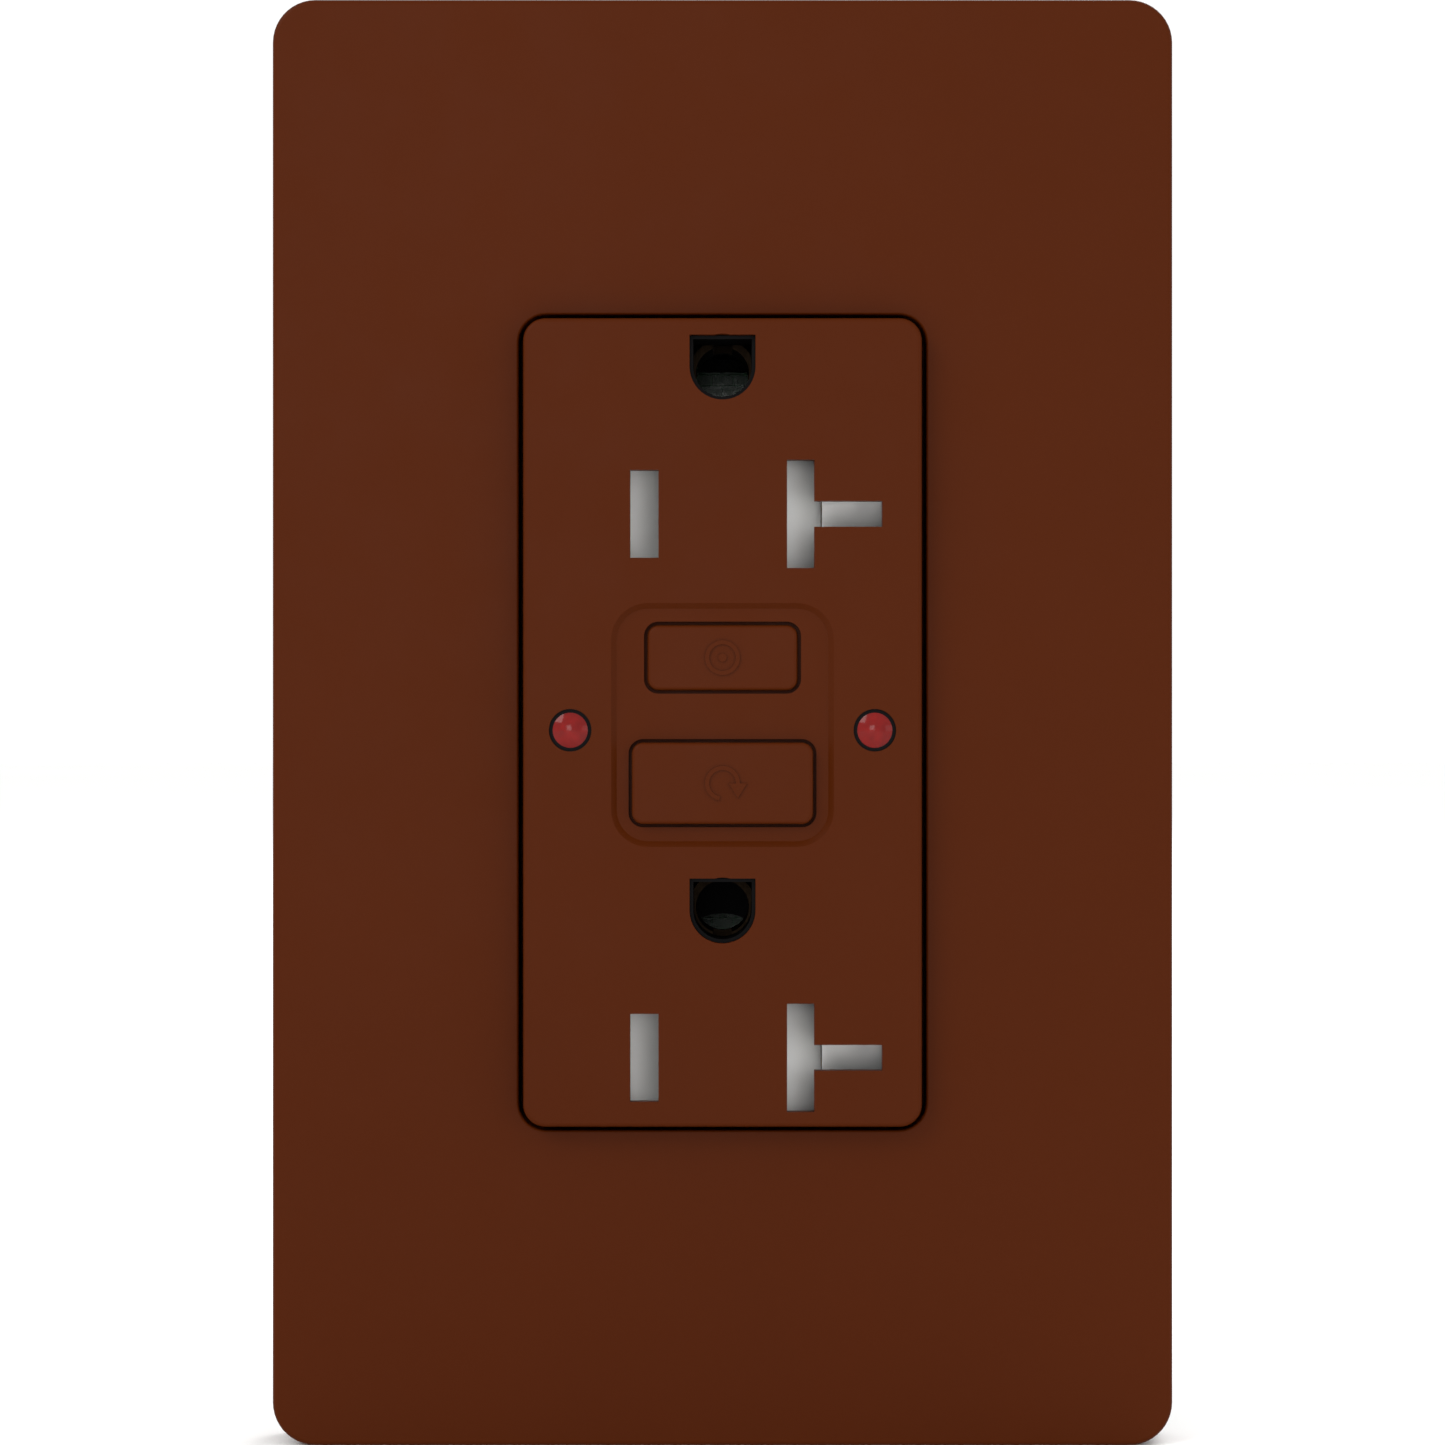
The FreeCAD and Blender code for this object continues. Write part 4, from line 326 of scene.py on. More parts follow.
def blended(tree, source, first, second):
    """A colour between the two, by the source."""
    ramp = tree.nodes.new("ShaderNodeValToRGB")
    ramp.color_ramp.elements[0].position = NOISE_LOW
    ramp.color_ramp.elements[1].position = NOISE_HIGH
    ramp.color_ramp.elements[0].color = (*first, 1)
    ramp.color_ramp.elements[1].color = (*second, 1)
    tree.links.new(source, ramp.inputs["Fac"])
    return ramp.outputs["Color"]


def roughened(tree, source, shader, height):
    """Bumps the shader's surface by the source, to a height in metres."""
    bump = tree.nodes.new("ShaderNodeBump")
    bump.inputs["Distance"].default_value = height
    bump.inputs["Strength"].default_value = 1.0
    tree.links.new(source, bump.inputs["Height"])
    tree.links.new(bump.outputs["Normal"], shader.inputs["Normal"])


def tinted(base, share_of):
    return tuple(min(1.0, channel * share_of) for channel in base)


def moulded(name, base, roughness, reflection=0.4, mottle=0.04, grain=0.2 * MM, height=0.004 * MM):
    """Moulded plastic: faint flow mottling, a fine mould grain and uneven gloss."""
    finish, tree, shader, place = new_finish(name)
    flow = noise(tree, place, FLOW, 3.0)
    fine = noise(tree, place, grain, 3.0)
    handled = noise(tree, place, HANDLING, 4.0)
    tree.links.new(blended(tree, flow, tinted(base, 1 - mottle), tinted(base, 1 + mottle)),
                   shader.inputs["Base Color"])
    gloss = ranged(tree, handled, roughness - GLOSS_SPREAD, roughness + GLOSS_SPREAD)
    tree.links.new(gloss, shader.inputs["Roughness"])
    shader.inputs["Specular IOR Level"].default_value = reflection
    roughened(tree, fine, shader, height)
    return finish


def plated(name, base, roughness, stretch=(1, 1, 1), mottle=0.1, height=0.002 * MM):
    """Plated or drawn metal: a crystalline mottle with fine marks along the way it was worked."""
    finish, tree, shader, place = new_finish(name)
    bloom = noise(tree, place, BLOOM, 5.0)
    marks = noise(tree, place, MARKS, 3.0, stretch)
    tree.links.new(blended(tree, bloom, tinted(base, 1 - mottle), tinted(base, 1 + mottle / 2)),
                   shader.inputs["Base Color"])
    tree.links.new(ranged(tree, marks, roughness - 0.07, roughness + 0.1), shader.inputs["Roughness"])
    shader.inputs["Metallic"].default_value = 1.0
    roughened(tree, marks, shader, height)
    return finish


def translucent(name, base, roughness, depth):
    """Moulded plastic that light soaks into, to a depth in metres."""
    finish = moulded(name, base, roughness, 0.2)
    shader = finish.node_tree.nodes["Principled BSDF"]
    shader.inputs["Subsurface Weight"].default_value = 1.0
    shader.inputs["Subsurface Radius"].default_value = (1, 1, 1)
    shader.inputs["Subsurface Scale"].default_value = depth
    return finish


def clear_lens(name, base):
    """Dyed clear plastic, glossy, that lets light into the lens."""
    finish, tree, shader, place = new_finish(name)
    haze = noise(tree, place, HAZE)
    tree.links.new(blended(tree, haze, tinted(base, 0.8), tinted(base, 1.1)), shader.inputs["Base Color"])
    tree.links.new(ranged(tree, haze, 0.1, 0.16), shader.inputs["Roughness"])
    shader.inputs["Transmission Weight"].default_value = 0.05
    shader.inputs["Specular IOR Level"].default_value = 0.14
    shader.inputs["Coat Weight"].default_value = 0.12
    shader.inputs["Coat Roughness"].default_value = 0.04
    roughened(tree, haze, shader, 0.003 * MM)
    return finish


def solder_mask(name, base):
    """The board's lacquer, in two shades with lighter traces between."""
    finish, tree, shader, place = new_finish(name)
    tracks = tree.nodes.new("ShaderNodeTexBrick")
    mapping = tree.nodes.new("ShaderNodeMapping")
    mapping.inputs["Rotation"].default_value = (TURN / 4, 0, 0)
    tracks.inputs["Scale"].default_value = TRACE_SCALE
    tracks.inputs["Mortar Size"].default_value = TRACE_WIDTH
    tracks.inputs["Color1"].default_value = (*base, 1)
    tracks.inputs["Color2"].default_value = (*tinted(base, 0.85), 1)
    tracks.inputs["Mortar"].default_value = (*tinted(base, 1.7), 1)
    tree.links.new(place.outputs["Object"], mapping.inputs["Vector"])
    tree.links.new(mapping.outputs["Vector"], tracks.inputs["Vector"])
    tree.links.new(tracks.outputs["Color"], shader.inputs["Base Color"])
    weave = noise(tree, place, WEAVE)
    tree.links.new(ranged(tree, weave, 0.22, 0.36), shader.inputs["Roughness"])
    shader.inputs["Coat Weight"].default_value = 0.3
    roughened(tree, tracks.outputs["Fac"], shader, 0.02 * MM)
    return finish


def make_finishes():
    """Every finish of the record, by the name of its material slot."""
    plastic = bpy.context.scene.receptacle_plastic
    metal = bpy.context.scene.receptacle_metal
    circuit = bpy.context.scene.receptacle_circuit
    brown, fine = plastic.brown, plastic.grain
    satin, sheen = plastic.satin, plastic.sheen
    lengthwise, around = (1, 1, 0.12), (1, 0.2, 1)
    finishes = {   # maker, colour, roughness, and what else the maker takes, in its order
        "plate_brown": (moulded, brown, satin, sheen, 0.015, fine, 0.0015 * MM),
        "face_brown": (moulded, brown, satin, sheen, 0.015, fine, 0.0012 * MM),
        "button_brown": (moulded, brown, satin - 0.04, sheen, 0.015, fine, 0.001 * MM),
        "frame_black": (moulded, plastic.frame_black, 0.5),
        "housing_black": (moulded, plastic.housing_black, 0.55, 0.35, 0.08, 0.3 * MM, 0.02 * MM),
        "shutter_grey": (translucent, plastic.shutter_grey, 0.5, 2.0 * MM),
        "tray_grey": (moulded, plastic.tray_grey, 0.55, 0.2),
        "carrier_ivory": (moulded, plastic.carrier_ivory, 0.5),
        "lifter_white": (moulded, plastic.lifter_white, 0.45),
        "retainer_white": (moulded, plastic.retainer_white, 0.6, 0.2, 0.05, 0.1 * MM),
        # real black of the bobbin and cup, and painted shade on the hole sleeves and lens rings
        "bobbin_black": (moulded, plastic.bobbin_black, 0.5, sheen),
        "lens_red": (clear_lens, plastic.lens_red),
        "led_red": (clear_lens, plastic.lens_red),
        "strap_zinc": (plated, metal.zinc, 0.36, lengthwise),
        "screw_steel": (plated, metal.steel, 0.3),
        "spring_steel": (plated, metal.spring, 0.28, around),
        "contact_brass": (plated, metal.brass, 0.32, lengthwise),
        # painted shade: the ground contacts' brass darkened nearly to black
        "tarnished_brass": (plated, metal.tarnish, 0.5, lengthwise),
        "screw_brass": (plated, metal.brass, 0.26),
        "screw_nickel": (plated, metal.nickel, 0.26),
        "contact_silver": (plated, metal.silver, 0.3),
        "screw_green": (plated, metal.green, 0.34),
        "coil_copper": (plated, metal.copper, 0.3, around),
        "core_dark": (moulded, circuit.core, 0.6, 0.3, 0.15, 0.15 * MM, 0.02 * MM),
        "board_green": (solder_mask, circuit.mask),
        "varistor_blue": (moulded, circuit.varistor, 0.3, 0.5, 0.06, 1.5 * MM, 0.02 * MM),
        "capacitor_yellow": (moulded, circuit.capacitor, 0.35, 0.5),
        "chip_black": (moulded, circuit.chip, 0.55, 0.4, 0.06, 0.1 * MM, 0.01 * MM),
    }
    return {name: make(name, *values) for name, (make, *values) in finishes.items()}


# ---- shaping ----

def finish_piece(bm, name, slot, body, nodes=()):
    """Makes the mesh an object with the finish of a slot, riding on a body if one is named, and standing
    for its nodes."""
    bmesh.ops.remove_doubles(bm, verts=bm.verts, dist=MERGE)
    bmesh.ops.recalc_face_normals(bm, faces=bm.faces)
    mesh = bpy.data.meshes.new(name)
    bm.to_mesh(mesh)
    bm.free()
    mesh.shade_smooth()
    mesh.set_sharp_from_angle(angle=CREASE)
    mesh.materials.append(bpy.data.materials[slot])
    piece = bpy.data.objects.new(name, mesh)
    bpy.context.scene.collection.objects.link(piece)
    if body:
        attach(piece, body)
    if nodes:
        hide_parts(*nodes)
    return piece


def facing(direction, place):
    """The matrix that turns local +Z to a direction and moves the origin to a place."""
    turn = Vector(direction).to_track_quat("Z", "Y").to_matrix().to_4x4()
    return Matrix.Translation(place) @ turn


def sweep_round(bm, edges, turns, steps, climb=0.0):
    """Spins edges round the Z axis, climbing by an amount each turn."""
    total = max(1, round(steps * turns))
    whole = climb == 0 and turns == 1
    bmesh.ops.spin(bm, geom=edges, cent=(0, 0, 0), axis=(0, 0, 1), angle=TURN * turns, steps=total,
                   dvec=(0, 0, climb * turns / total), use_merge=whole)


def wire_ring(bm, radius, wire, sides):
    """A closed circle of edges in an empty mesh, standing on the XZ plane, out at a radius."""
    stand = Matrix.Translation((radius, 0, 0)) @ Matrix.Rotation(TURN / 4, 4, "X")
    bmesh.ops.create_circle(bm, segments=sides, radius=wire, matrix=stand)
    return list(bm.edges)


def outline(bm, points, closed=True):
    """The edges that join (radius, level) points in turn on the XZ plane."""
    verts = [bm.verts.new((radius, 0, level)) for radius, level in points]
    following = verts[1:] + verts[:1] if closed else verts[1:]
    return [bm.edges.new(pair) for pair in zip(verts, following)]


def lifted(bm, faces, height):
    """The mesh with the faces extruded up by a height."""
    moved = bmesh.ops.extrude_face_region(bm, geom=faces)["geom"]
    verts = [item for item in moved if isinstance(item, bmesh.types.BMVert)]
    bmesh.ops.translate(bm, vec=(0, 0, height), verts=verts)
    return bm


def cap_ends(bm):
    bmesh.ops.holes_fill(bm, edges=[edge for edge in bm.edges if edge.is_boundary], sides=0)


def coil(radius, wire, height, turns, steps=18, sides=8):
    """A coil spring on the Z axis from 0 to its height, with a closed turn at each end."""
    bm = bmesh.new()
    climb = (height - 2 * wire) / turns
    edges = wire_ring(bm, radius - wire, wire, sides)
    bmesh.ops.translate(bm, vec=(0, 0, wire), verts=bm.verts)
    sweep_round(bm, edges, turns, steps, climb)
    cap_ends(bm)
    for level in (wire, height - wire):
        end = bmesh.new()
        sweep_round(end, wire_ring(end, radius - wire, wire, sides), 1, steps)
        bmesh.ops.translate(end, vec=(0, 0, level), verts=end.verts)
        join(bm, end)
    return bm


def join(bm, other):
    """Adds another bmesh to this one."""
    mesh = bpy.data.meshes.new("joined")
    other.to_mesh(mesh)
    other.free()
    bm.from_mesh(mesh)
    bpy.data.meshes.remove(mesh)


def turned(points, steps=32):
    """A solid of revolution round the Z axis from an outline of (radius, level) points, axis to axis."""
    bm = bmesh.new()
    sweep_round(bm, outline(bm, points, closed=False), 1, steps)
    bmesh.ops.remove_doubles(bm, verts=bm.verts, dist=MERGE)
    return bm


def thread(root, crest, pitch, start, end, steps):
    """A helical ridge round the Z axis between two levels, fading out at both."""
    bm = bmesh.new()
    half, land, foot = RIDGE_FOOT * pitch, RIDGE_LAND * pitch, root - RIDGE_SUNK
    ridge = outline(bm, [(foot, -half), (crest, -land), (crest, land), (foot, half)])
    turns = (end - start) / pitch - 1
    sweep_round(bm, ridge, turns, steps, pitch)
    cap_ends(bm)
    bmesh.ops.translate(bm, vec=(0, 0, start + pitch / 2), verts=bm.verts)
    for vert in bm.verts:
        radius = math.hypot(vert.co.x, vert.co.y)
        fade = min(1.0, (vert.co.z - start) / pitch, (end - vert.co.z) / pitch)
        wanted = min(radius, foot + (crest - foot) * max(0.0, fade))
        vert.co.x *= wanted / radius
        vert.co.y *= wanted / radius
    return bm


def carved(bm, cutter):
    """The mesh with the cutter's space taken out of it."""
    objects = []
    for part in (bm, cutter):
        bmesh.ops.recalc_face_normals(part, faces=part.faces)
        mesh = bpy.data.meshes.new("carving")
        part.to_mesh(mesh)
        part.free()
        objects.append(bpy.data.objects.new("carving", mesh))
        bpy.context.scene.collection.objects.link(objects[-1])
    body, tool = objects
    cut = body.modifiers.new("cut", "BOOLEAN")
    cut.operation, cut.solver, cut.object = "DIFFERENCE", "EXACT", tool
    result = bpy.data.meshes.new_from_object(body.evaluated_get(bpy.context.evaluated_depsgraph_get()))
    out = bmesh.new()
    out.from_mesh(result)
    spent = [item.data for item in objects] + [result]
    for item in objects:
        bpy.data.objects.remove(item)
    for mesh in spent:
        bpy.data.meshes.remove(mesh)
    return out


def block(size, centre):
    """A box of a size about a centre."""
    bm = bmesh.new()
    bmesh.ops.create_cube(bm, size=1.0, matrix=Matrix.Translation(centre) @ Matrix.Diagonal((*size, 1)))
    return bm


def eased(bm, width, crowned=False):
    """The mesh with its corners bevelled, or only the rims of its raised top where crowned."""
    top = max(vert.co.z for vert in bm.verts)
    corners = [edge for edge in bm.edges if edge.calc_face_angle(0) > CORNER]
    if crowned:
        corners = [edge for edge in corners if min(vert.co.z for vert in edge.verts) > top * RIM]
    bmesh.ops.bevel(bm, geom=corners, offset=width, affect="EDGES", segments=2, profile=0.5, material=-1)
    return bm


def driven(head, size):
    """The head with a slot in its top, and a cross for a second driver where the screw has one."""
    top = (0, 0, size.head_height)
    head = carved(head, block((SLOT_REACH * size.head_radius, size.slot, 2 * size.depth), top))
    for turn in (0, TURN / 4) if size.cross else ():
        cross = (CROSS_REACH * size.head_radius, size.slot * CROSS_WIDTH, CROSS_DEPTH * size.depth)
        arm = block(cross, top)
        bmesh.ops.rotate(arm, cent=(0, 0, 0), matrix=Matrix.Rotation(turn, 3, "Z"), verts=arm.verts)
        head = carved(head, arm)
    return head


def screw(size, tip, pitch):
    """A screw on the Z axis, its head above level 0 and its threaded shank down to the tip."""
    settings = bpy.context.scene.receptacle_thread
    radius, height = size.head_radius, size.head_height
    root = size.shank_radius - pitch * settings.depth
    crown = height * size.rounding
    angles = [TURN / 4 * step / ARC_STEPS for step in range(ARC_STEPS + 1)]
    arc = [(radius - crown + crown * math.cos(angle), height - crown + crown * math.sin(angle))
           for angle in angles]
    head = turned([(0, 0), (radius - HEAD_EASE, 0), (radius, HEAD_EASE), *arc, (0, height)], HEAD_STEPS)
    head = driven(head, size)
    end_radius = root * (1 - size.point)
    shoulder = tip + (POINT_LENGTH if size.point else TIP_CHAMFER)
    join(head, turned([(0, SHANK_SUNK), (root, SHANK_SUNK), (root, shoulder), (end_radius, tip), (0, tip)],
                      SHANK_STEPS))
    join(head, thread(root, size.shank_radius, pitch, tip + THREAD_GAP, -SHANK_SUNK, settings.steps))
    return head


def placed(bm, direction, place):
    """The mesh with local +Z turned to a direction and its origin moved to a place."""
    bmesh.ops.transform(bm, matrix=facing(direction, place), verts=bm.verts)
    return bm


def bow(radius, line, relief, turns):
    """A flat raised band that runs round the Z axis for a share of a turn."""
    bm = bmesh.new()
    low, high = radius - line / 2, radius + line / 2
    section = outline(bm, [(low, 0), (high, 0), (high, relief), (low, relief)])
    sweep_round(bm, section, turns, BAND_STEPS)
    cap_ends(bm)
    return bm


def hollowed(bm, wall, depth):
    """The flat face in the mesh made a tube of a wall thickness, raised along Z."""
    face = list(bm.faces)
    bmesh.ops.inset_region(bm, faces=face, thickness=wall, use_even_offset=True, use_boundary=True)
    bmesh.ops.delete(bm, geom=face, context="FACES")
    return lifted(bm, list(bm.faces), depth)


def border_ring(width, height, line, relief):
    """A raised rectangular border about the Z axis."""
    bm = bmesh.new()
    bmesh.ops.create_grid(bm, x_segments=1, y_segments=1, size=0.5,
                          matrix=Matrix.Diagonal((width, height, 1, 1)))
    return hollowed(bm, line, relief)


def sleeve(radius, flat, wall, depth):
    """A tube on the Z axis that is round below and flat above, for a ground pin."""
    bm = bmesh.new()
    start = bm.verts.new((-radius, 0, 0))
    arc = bmesh.ops.spin(bm, geom=[start], cent=(0, 0, 0), axis=(0, 0, 1), angle=TURN / 2,
                         steps=SLEEVE_STEPS)
    end = arc["geom_last"][0]
    corners = [bm.verts.new((x, flat, 0)) for x in (radius, -radius)]
    for pair in ((end, corners[0]), corners, (corners[1], start)):
        bm.edges.new(pair)
    bmesh.ops.contextual_create(bm, geom=list(bm.edges))
    return hollowed(bm, wall, depth)


def arrow_head(radius, line, relief):
    """A flat triangle at the start of a bow, pointing back round the Z axis."""
    bm = bmesh.new()
    reach = ARROW_REACH * line
    corners = ((radius - reach, 0), (radius + reach, 0), (radius, -ARROW_LENGTH * reach))
    face = bm.faces.new([bm.verts.new((x, y, 0)) for x, y in corners])
    return lifted(bm, [face], relief)


def middle(node):
    low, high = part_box(node)
    return (low + high) / 2


# ---- operators ----

class RECEPTACLE_OT_finishes(bpy.types.Operator):
    """Give every node of the assembly the finish of its material slot; the ground contacts get brass darkened
    as painted shade
    """
    bl_idname = "receptacle.finishes"
    bl_label = "Finishes"

    def execute(self, context):
        for plain in list(bpy.data.materials):
            bpy.data.materials.remove(plain)
        finishes = make_finishes()
        for row in frame["record"]["subparts"]:
            slots = frame["nodes"][row["node"]].material_slots
            for slot in slots:
                slot.material = finishes[SHADE_FINISH.get(row["node"], row["material_slot"])]
        return {"FINISHED"}


class RECEPTACLE_OT_springs(bpy.types.Operator):
    """Wind the coil springs of the reset button, latch, plunger and shutters and form the test blade"""
    bl_idname = "receptacle.springs"
    bl_label = "Springs"

    def execute(self, context):
        shape = context.scene.receptacle_spring
        springs = [  # node, body, joint, axis, end that stays, wire diameter in mm, turns
            ("reset_spring", DEVICE, "reset_press", "y", "high", 0.6, 7),
            ("latch_spring", "lifter", "latch_slide", "z", "low", 0.3, 5),
            ("plunger_spring", DEVICE, "plunger_slide", "z", "low", 0.5, 3),
        ]
        for outlet in OUTLETS:
            for leaf, axis, fixed, turns in (("shutter", "x", "low", 8), ("branch", "z", "high", 9)):
                names = f"{outlet}_{leaf}_spring", DEVICE, f"{outlet}_{leaf}_slide"
                springs.append((*names, axis, fixed, 0.3, turns))
        for node, body, joint, axis, fixed, wire, turns in springs:
            low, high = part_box(node)
            along = AXES[axis]
            height = (high - low).dot(along)
            across = [(high - low)[i] for i in range(3) if not along[i]]
            free_end = shape.end_play if fixed == "high" else 0
            base = middle(node) - along * (height / 2 - free_end)
            wound = coil(max(across) / 2, wire * MM / 2, height - shape.end_play, turns)
            piece = finish_piece(placed(wound, along, base), f"{node}_coil", "spring_steel", body, [node])
            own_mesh(piece)
        self.leaf(shape)
        return {"FINISHED"}

    def leaf(self, shape):
        """The blade under the test button, which bends between its foot and the button's stem."""
        low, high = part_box("test_blade")
        centre, thick = (low + high) / 2, shape.leaf_thick
        leaf_y = low.y + thick / 2
        blade = block((high.x - low.x, thick, high.z - low.z), (centre.x, leaf_y, centre.z))
        lengthwise = [edge for edge in blade.edges if abs((edge.verts[0].co - edge.verts[1].co).x) > thick]
        bmesh.ops.subdivide_edges(blade, edges=lengthwise, cuts=shape.leaf_steps, use_grid_fill=True)
        join(blade, block((thick, high.y - low.y, high.z - low.z), (low.x + thick / 2, centre.y, centre.z)))
        piece = finish_piece(blade, "test_leaf_spring", "spring_steel", None, ["test_blade"])
        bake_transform(piece)


class RECEPTACLE_OT_screws(bpy.types.Operator):
    """Cut the threaded screws of the box, the frame, the housing, the terminals and the ground"""
    bl_idname = "receptacle.screws"
    bl_label = "Screws"

    def execute(self, context):
        settings = context.scene.receptacle_thread
        pitch = settings.machine_pitch
        self.pair("box_screws", BOX_SCREW, pitch)
        self.pair("adapter_screws", ADAPTER_SCREW, pitch)
        for feed in FEEDS:
            for pole in POLES:
                self.terminal(f"{feed}_{pole}_screw", pitch)
        self.ground(pitch)
        self.housing(settings.forming_pitch)
        return {"FINISHED"}

    def pair(self, node, size, pitch):
        low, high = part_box(node)
        seat = low.y + size.head_height
        both = bmesh.new()
        for level in (low.z + size.head_radius, high.z - size.head_radius):
            one = screw(size, -(high.y - seat), pitch)
            join(both, placed(one, (0, -1, 0), (0, seat, level)))
        finish_piece(both, f"{node}_threaded", "screw_steel", DEVICE, [node])

    def terminal(self, node, pitch):
        low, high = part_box(node)
        centre = middle(node)
        side = 1 if centre.x > 0 else -1
        size = TERMINAL_SCREW._replace(head_radius=(high.z - low.z) / 2)
        seat = max(abs(low.x), abs(high.x)) - size.head_height
        tip = min(abs(low.x), abs(high.x)) - seat
        place = (side * seat, centre.y, centre.z)
        slot = frame["nodes"][node].material_slots[0].material.name
        one = placed(screw(size, tip, pitch), (side, 0, 0), place)
        finish_piece(one, f"{node}_threaded", slot, node, [node])

    def ground(self, pitch):
        low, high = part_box("ground_screw")
        centre = middle("ground_screw")
        seat = low.z + GROUND_SCREW.head_height
        one = screw(GROUND_SCREW, -(high.z - seat), pitch)
        finish_piece(placed(one, (0, 0, -1), (centre.x, centre.y, seat)), "ground_screw_threaded",
                     "screw_green", DEVICE, ["ground_screw"])

    def housing(self, pitch):
        low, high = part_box("housing_screws")
        radius = HOUSING_SCREW.head_radius
        seat = high.y - HOUSING_SCREW.head_height
        all_four = bmesh.new()
        for x in (low.x + radius, high.x - radius):
            for z in (low.z + radius, high.z - radius):
                one = screw(HOUSING_SCREW, low.y - seat, pitch)
                join(all_four, placed(one, (0, 1, 0), (x, seat, z)))
        finish_piece(all_four, "housing_screws_threaded", "screw_steel", DEVICE, ["housing_screws"])


class RECEPTACLE_OT_windings(bpy.types.Operator):
    """Wind the solenoid's magnet wire"""
    bl_idname = "receptacle.windings"
    bl_label = "Windings"

    def execute(self, context):
        low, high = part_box("solenoid_coil")
        radius, height = (high.x - low.x) / 2, high.z - low.z
        turns = int(height / (2 * WINDING_WIRE)) - 1
        winding = coil(radius, WINDING_WIRE, height, turns, WINDING_STEPS, WINDING_SIDES)
        inner = radius - CORE_INSET * WINDING_WIRE
        join(winding, turned([(0, 0), (inner, 0), (inner, height), (0, height)]))
        centre = middle("solenoid_coil")
        finish_piece(placed(winding, (0, 0, 1), (centre.x, centre.y, low.z)), "solenoid_winding",
                     "coil_copper", DEVICE, ["solenoid_coil"])
        return {"FINISHED"}


class RECEPTACLE_OT_shade_liners(bpy.types.Operator):
    """Line the ground holes of the face with black sleeves and seat the lenses in black rings, as painted
    shade for the dark holes and the dark gaps round the lenses
    """
    bl_idname = "receptacle.liners"
    bl_label = "Liners and lens seats"

    def execute(self, context):
        shape = context.scene.receptacle_liner
        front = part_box("face_cover")[0].y + shape.sunk
        low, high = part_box("ground_contacts")
        both = bmesh.new()
        for level in (low.z + shape.contact_half, high.z - shape.contact_half):
            liner = sleeve(shape.radius, shape.flat, shape.wall, shape.depth)
            join(both, placed(liner, (0, 1, 0), (0, front, level)))
        # black sleeves: painted shade inside the ground holes
        finish_piece(both, "ground_liners", "bobbin_black", DEVICE)
        low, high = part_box("light_pipes")
        seats = bmesh.new()
        for x in (low.x + shape.lens_flange, high.x - shape.lens_flange):
            ring = bow(shape.seat, shape.seat_line, shape.seat_depth, 1.0)
            join(seats, placed(ring, (0, 1, 0), (x, front - shape.seat_rise, middle("light_pipes").z)))
        # black rings: painted shade in the gaps round the lenses
        finish_piece(seats, "lens_seats", "bobbin_black", DEVICE)
        return {"FINISHED"}


class RECEPTACLE_OT_housing(bpy.types.Operator):
    """Raise the moulded relief of the housing: port collars, panel border, strip gauge and grip ribs"""
    bl_idname = "receptacle.housing"
    bl_label = "Housing relief"

    def execute(self, context):
        relief = context.scene.receptacle_relief
        low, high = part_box("rear_housing")
        rear, side = high.y - relief.sunk, high.x - relief.sunk
        whole = bmesh.new()
        for x, z in self.ports(relief):
            collar = eased(bow(relief.collar, relief.line, relief.height, 1.0), relief.easing, crowned=True)
            join(whole, placed(collar, (0, 1, 0), (x, rear, z)))
        border = border_ring(relief.panel_width, relief.panel_height, relief.line, relief.height)
        join(whole, placed(border, (0, 1, 0), (0, rear, 0)))
        for ribs in (self.gauge(relief, rear, low.z), self.grips(relief, side)):
            join(whole, ribs)
        finish_piece(whole, "housing_relief", "housing_black", DEVICE)
        return {"FINISHED"}

    def ports(self, relief):
        """The places of the eight wire ports, beside the four clamps."""
        places = []
        for feed in FEEDS:
            for pole in POLES:
                low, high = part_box(f"{feed}_{pole}_clamp")
                centre = (low + high) / 2
                beside = high.x + relief.port_beside if centre.x > 0 else low.x - relief.port_beside
                for offset in (-relief.port_offset, relief.port_offset):
                    places.append((beside, centre.z + offset))
        return places

    def gauge(self, relief, rear, bottom):
        """A bar with two end marks, as long as the wire is to be stripped."""
        level, reach = bottom + relief.gauge_rise, relief.gauge_length / 2
        bars = block((relief.gauge_length, relief.height, relief.line), (0, rear + relief.height / 2, level))
        for x in (-reach, reach):
            tick = (relief.line, relief.height, TICK * relief.line)
            join(bars, block(tick, (x, rear + relief.height / 2, level)))
        return eased(bars, relief.easing)

    def grips(self, relief, side):
        """Ribs for the fingers on both long sides, between the terminals."""
        centre = middle("rear_housing")
        ribs = bmesh.new()
        for step in range(-relief.grips, relief.grips + 1):
            for x in (-side, side):
                size = (2 * relief.height, relief.grip_length, relief.line)
                join(ribs, block(size, (x, centre.y, step * relief.grip_pitch)))
        return eased(ribs, relief.easing)


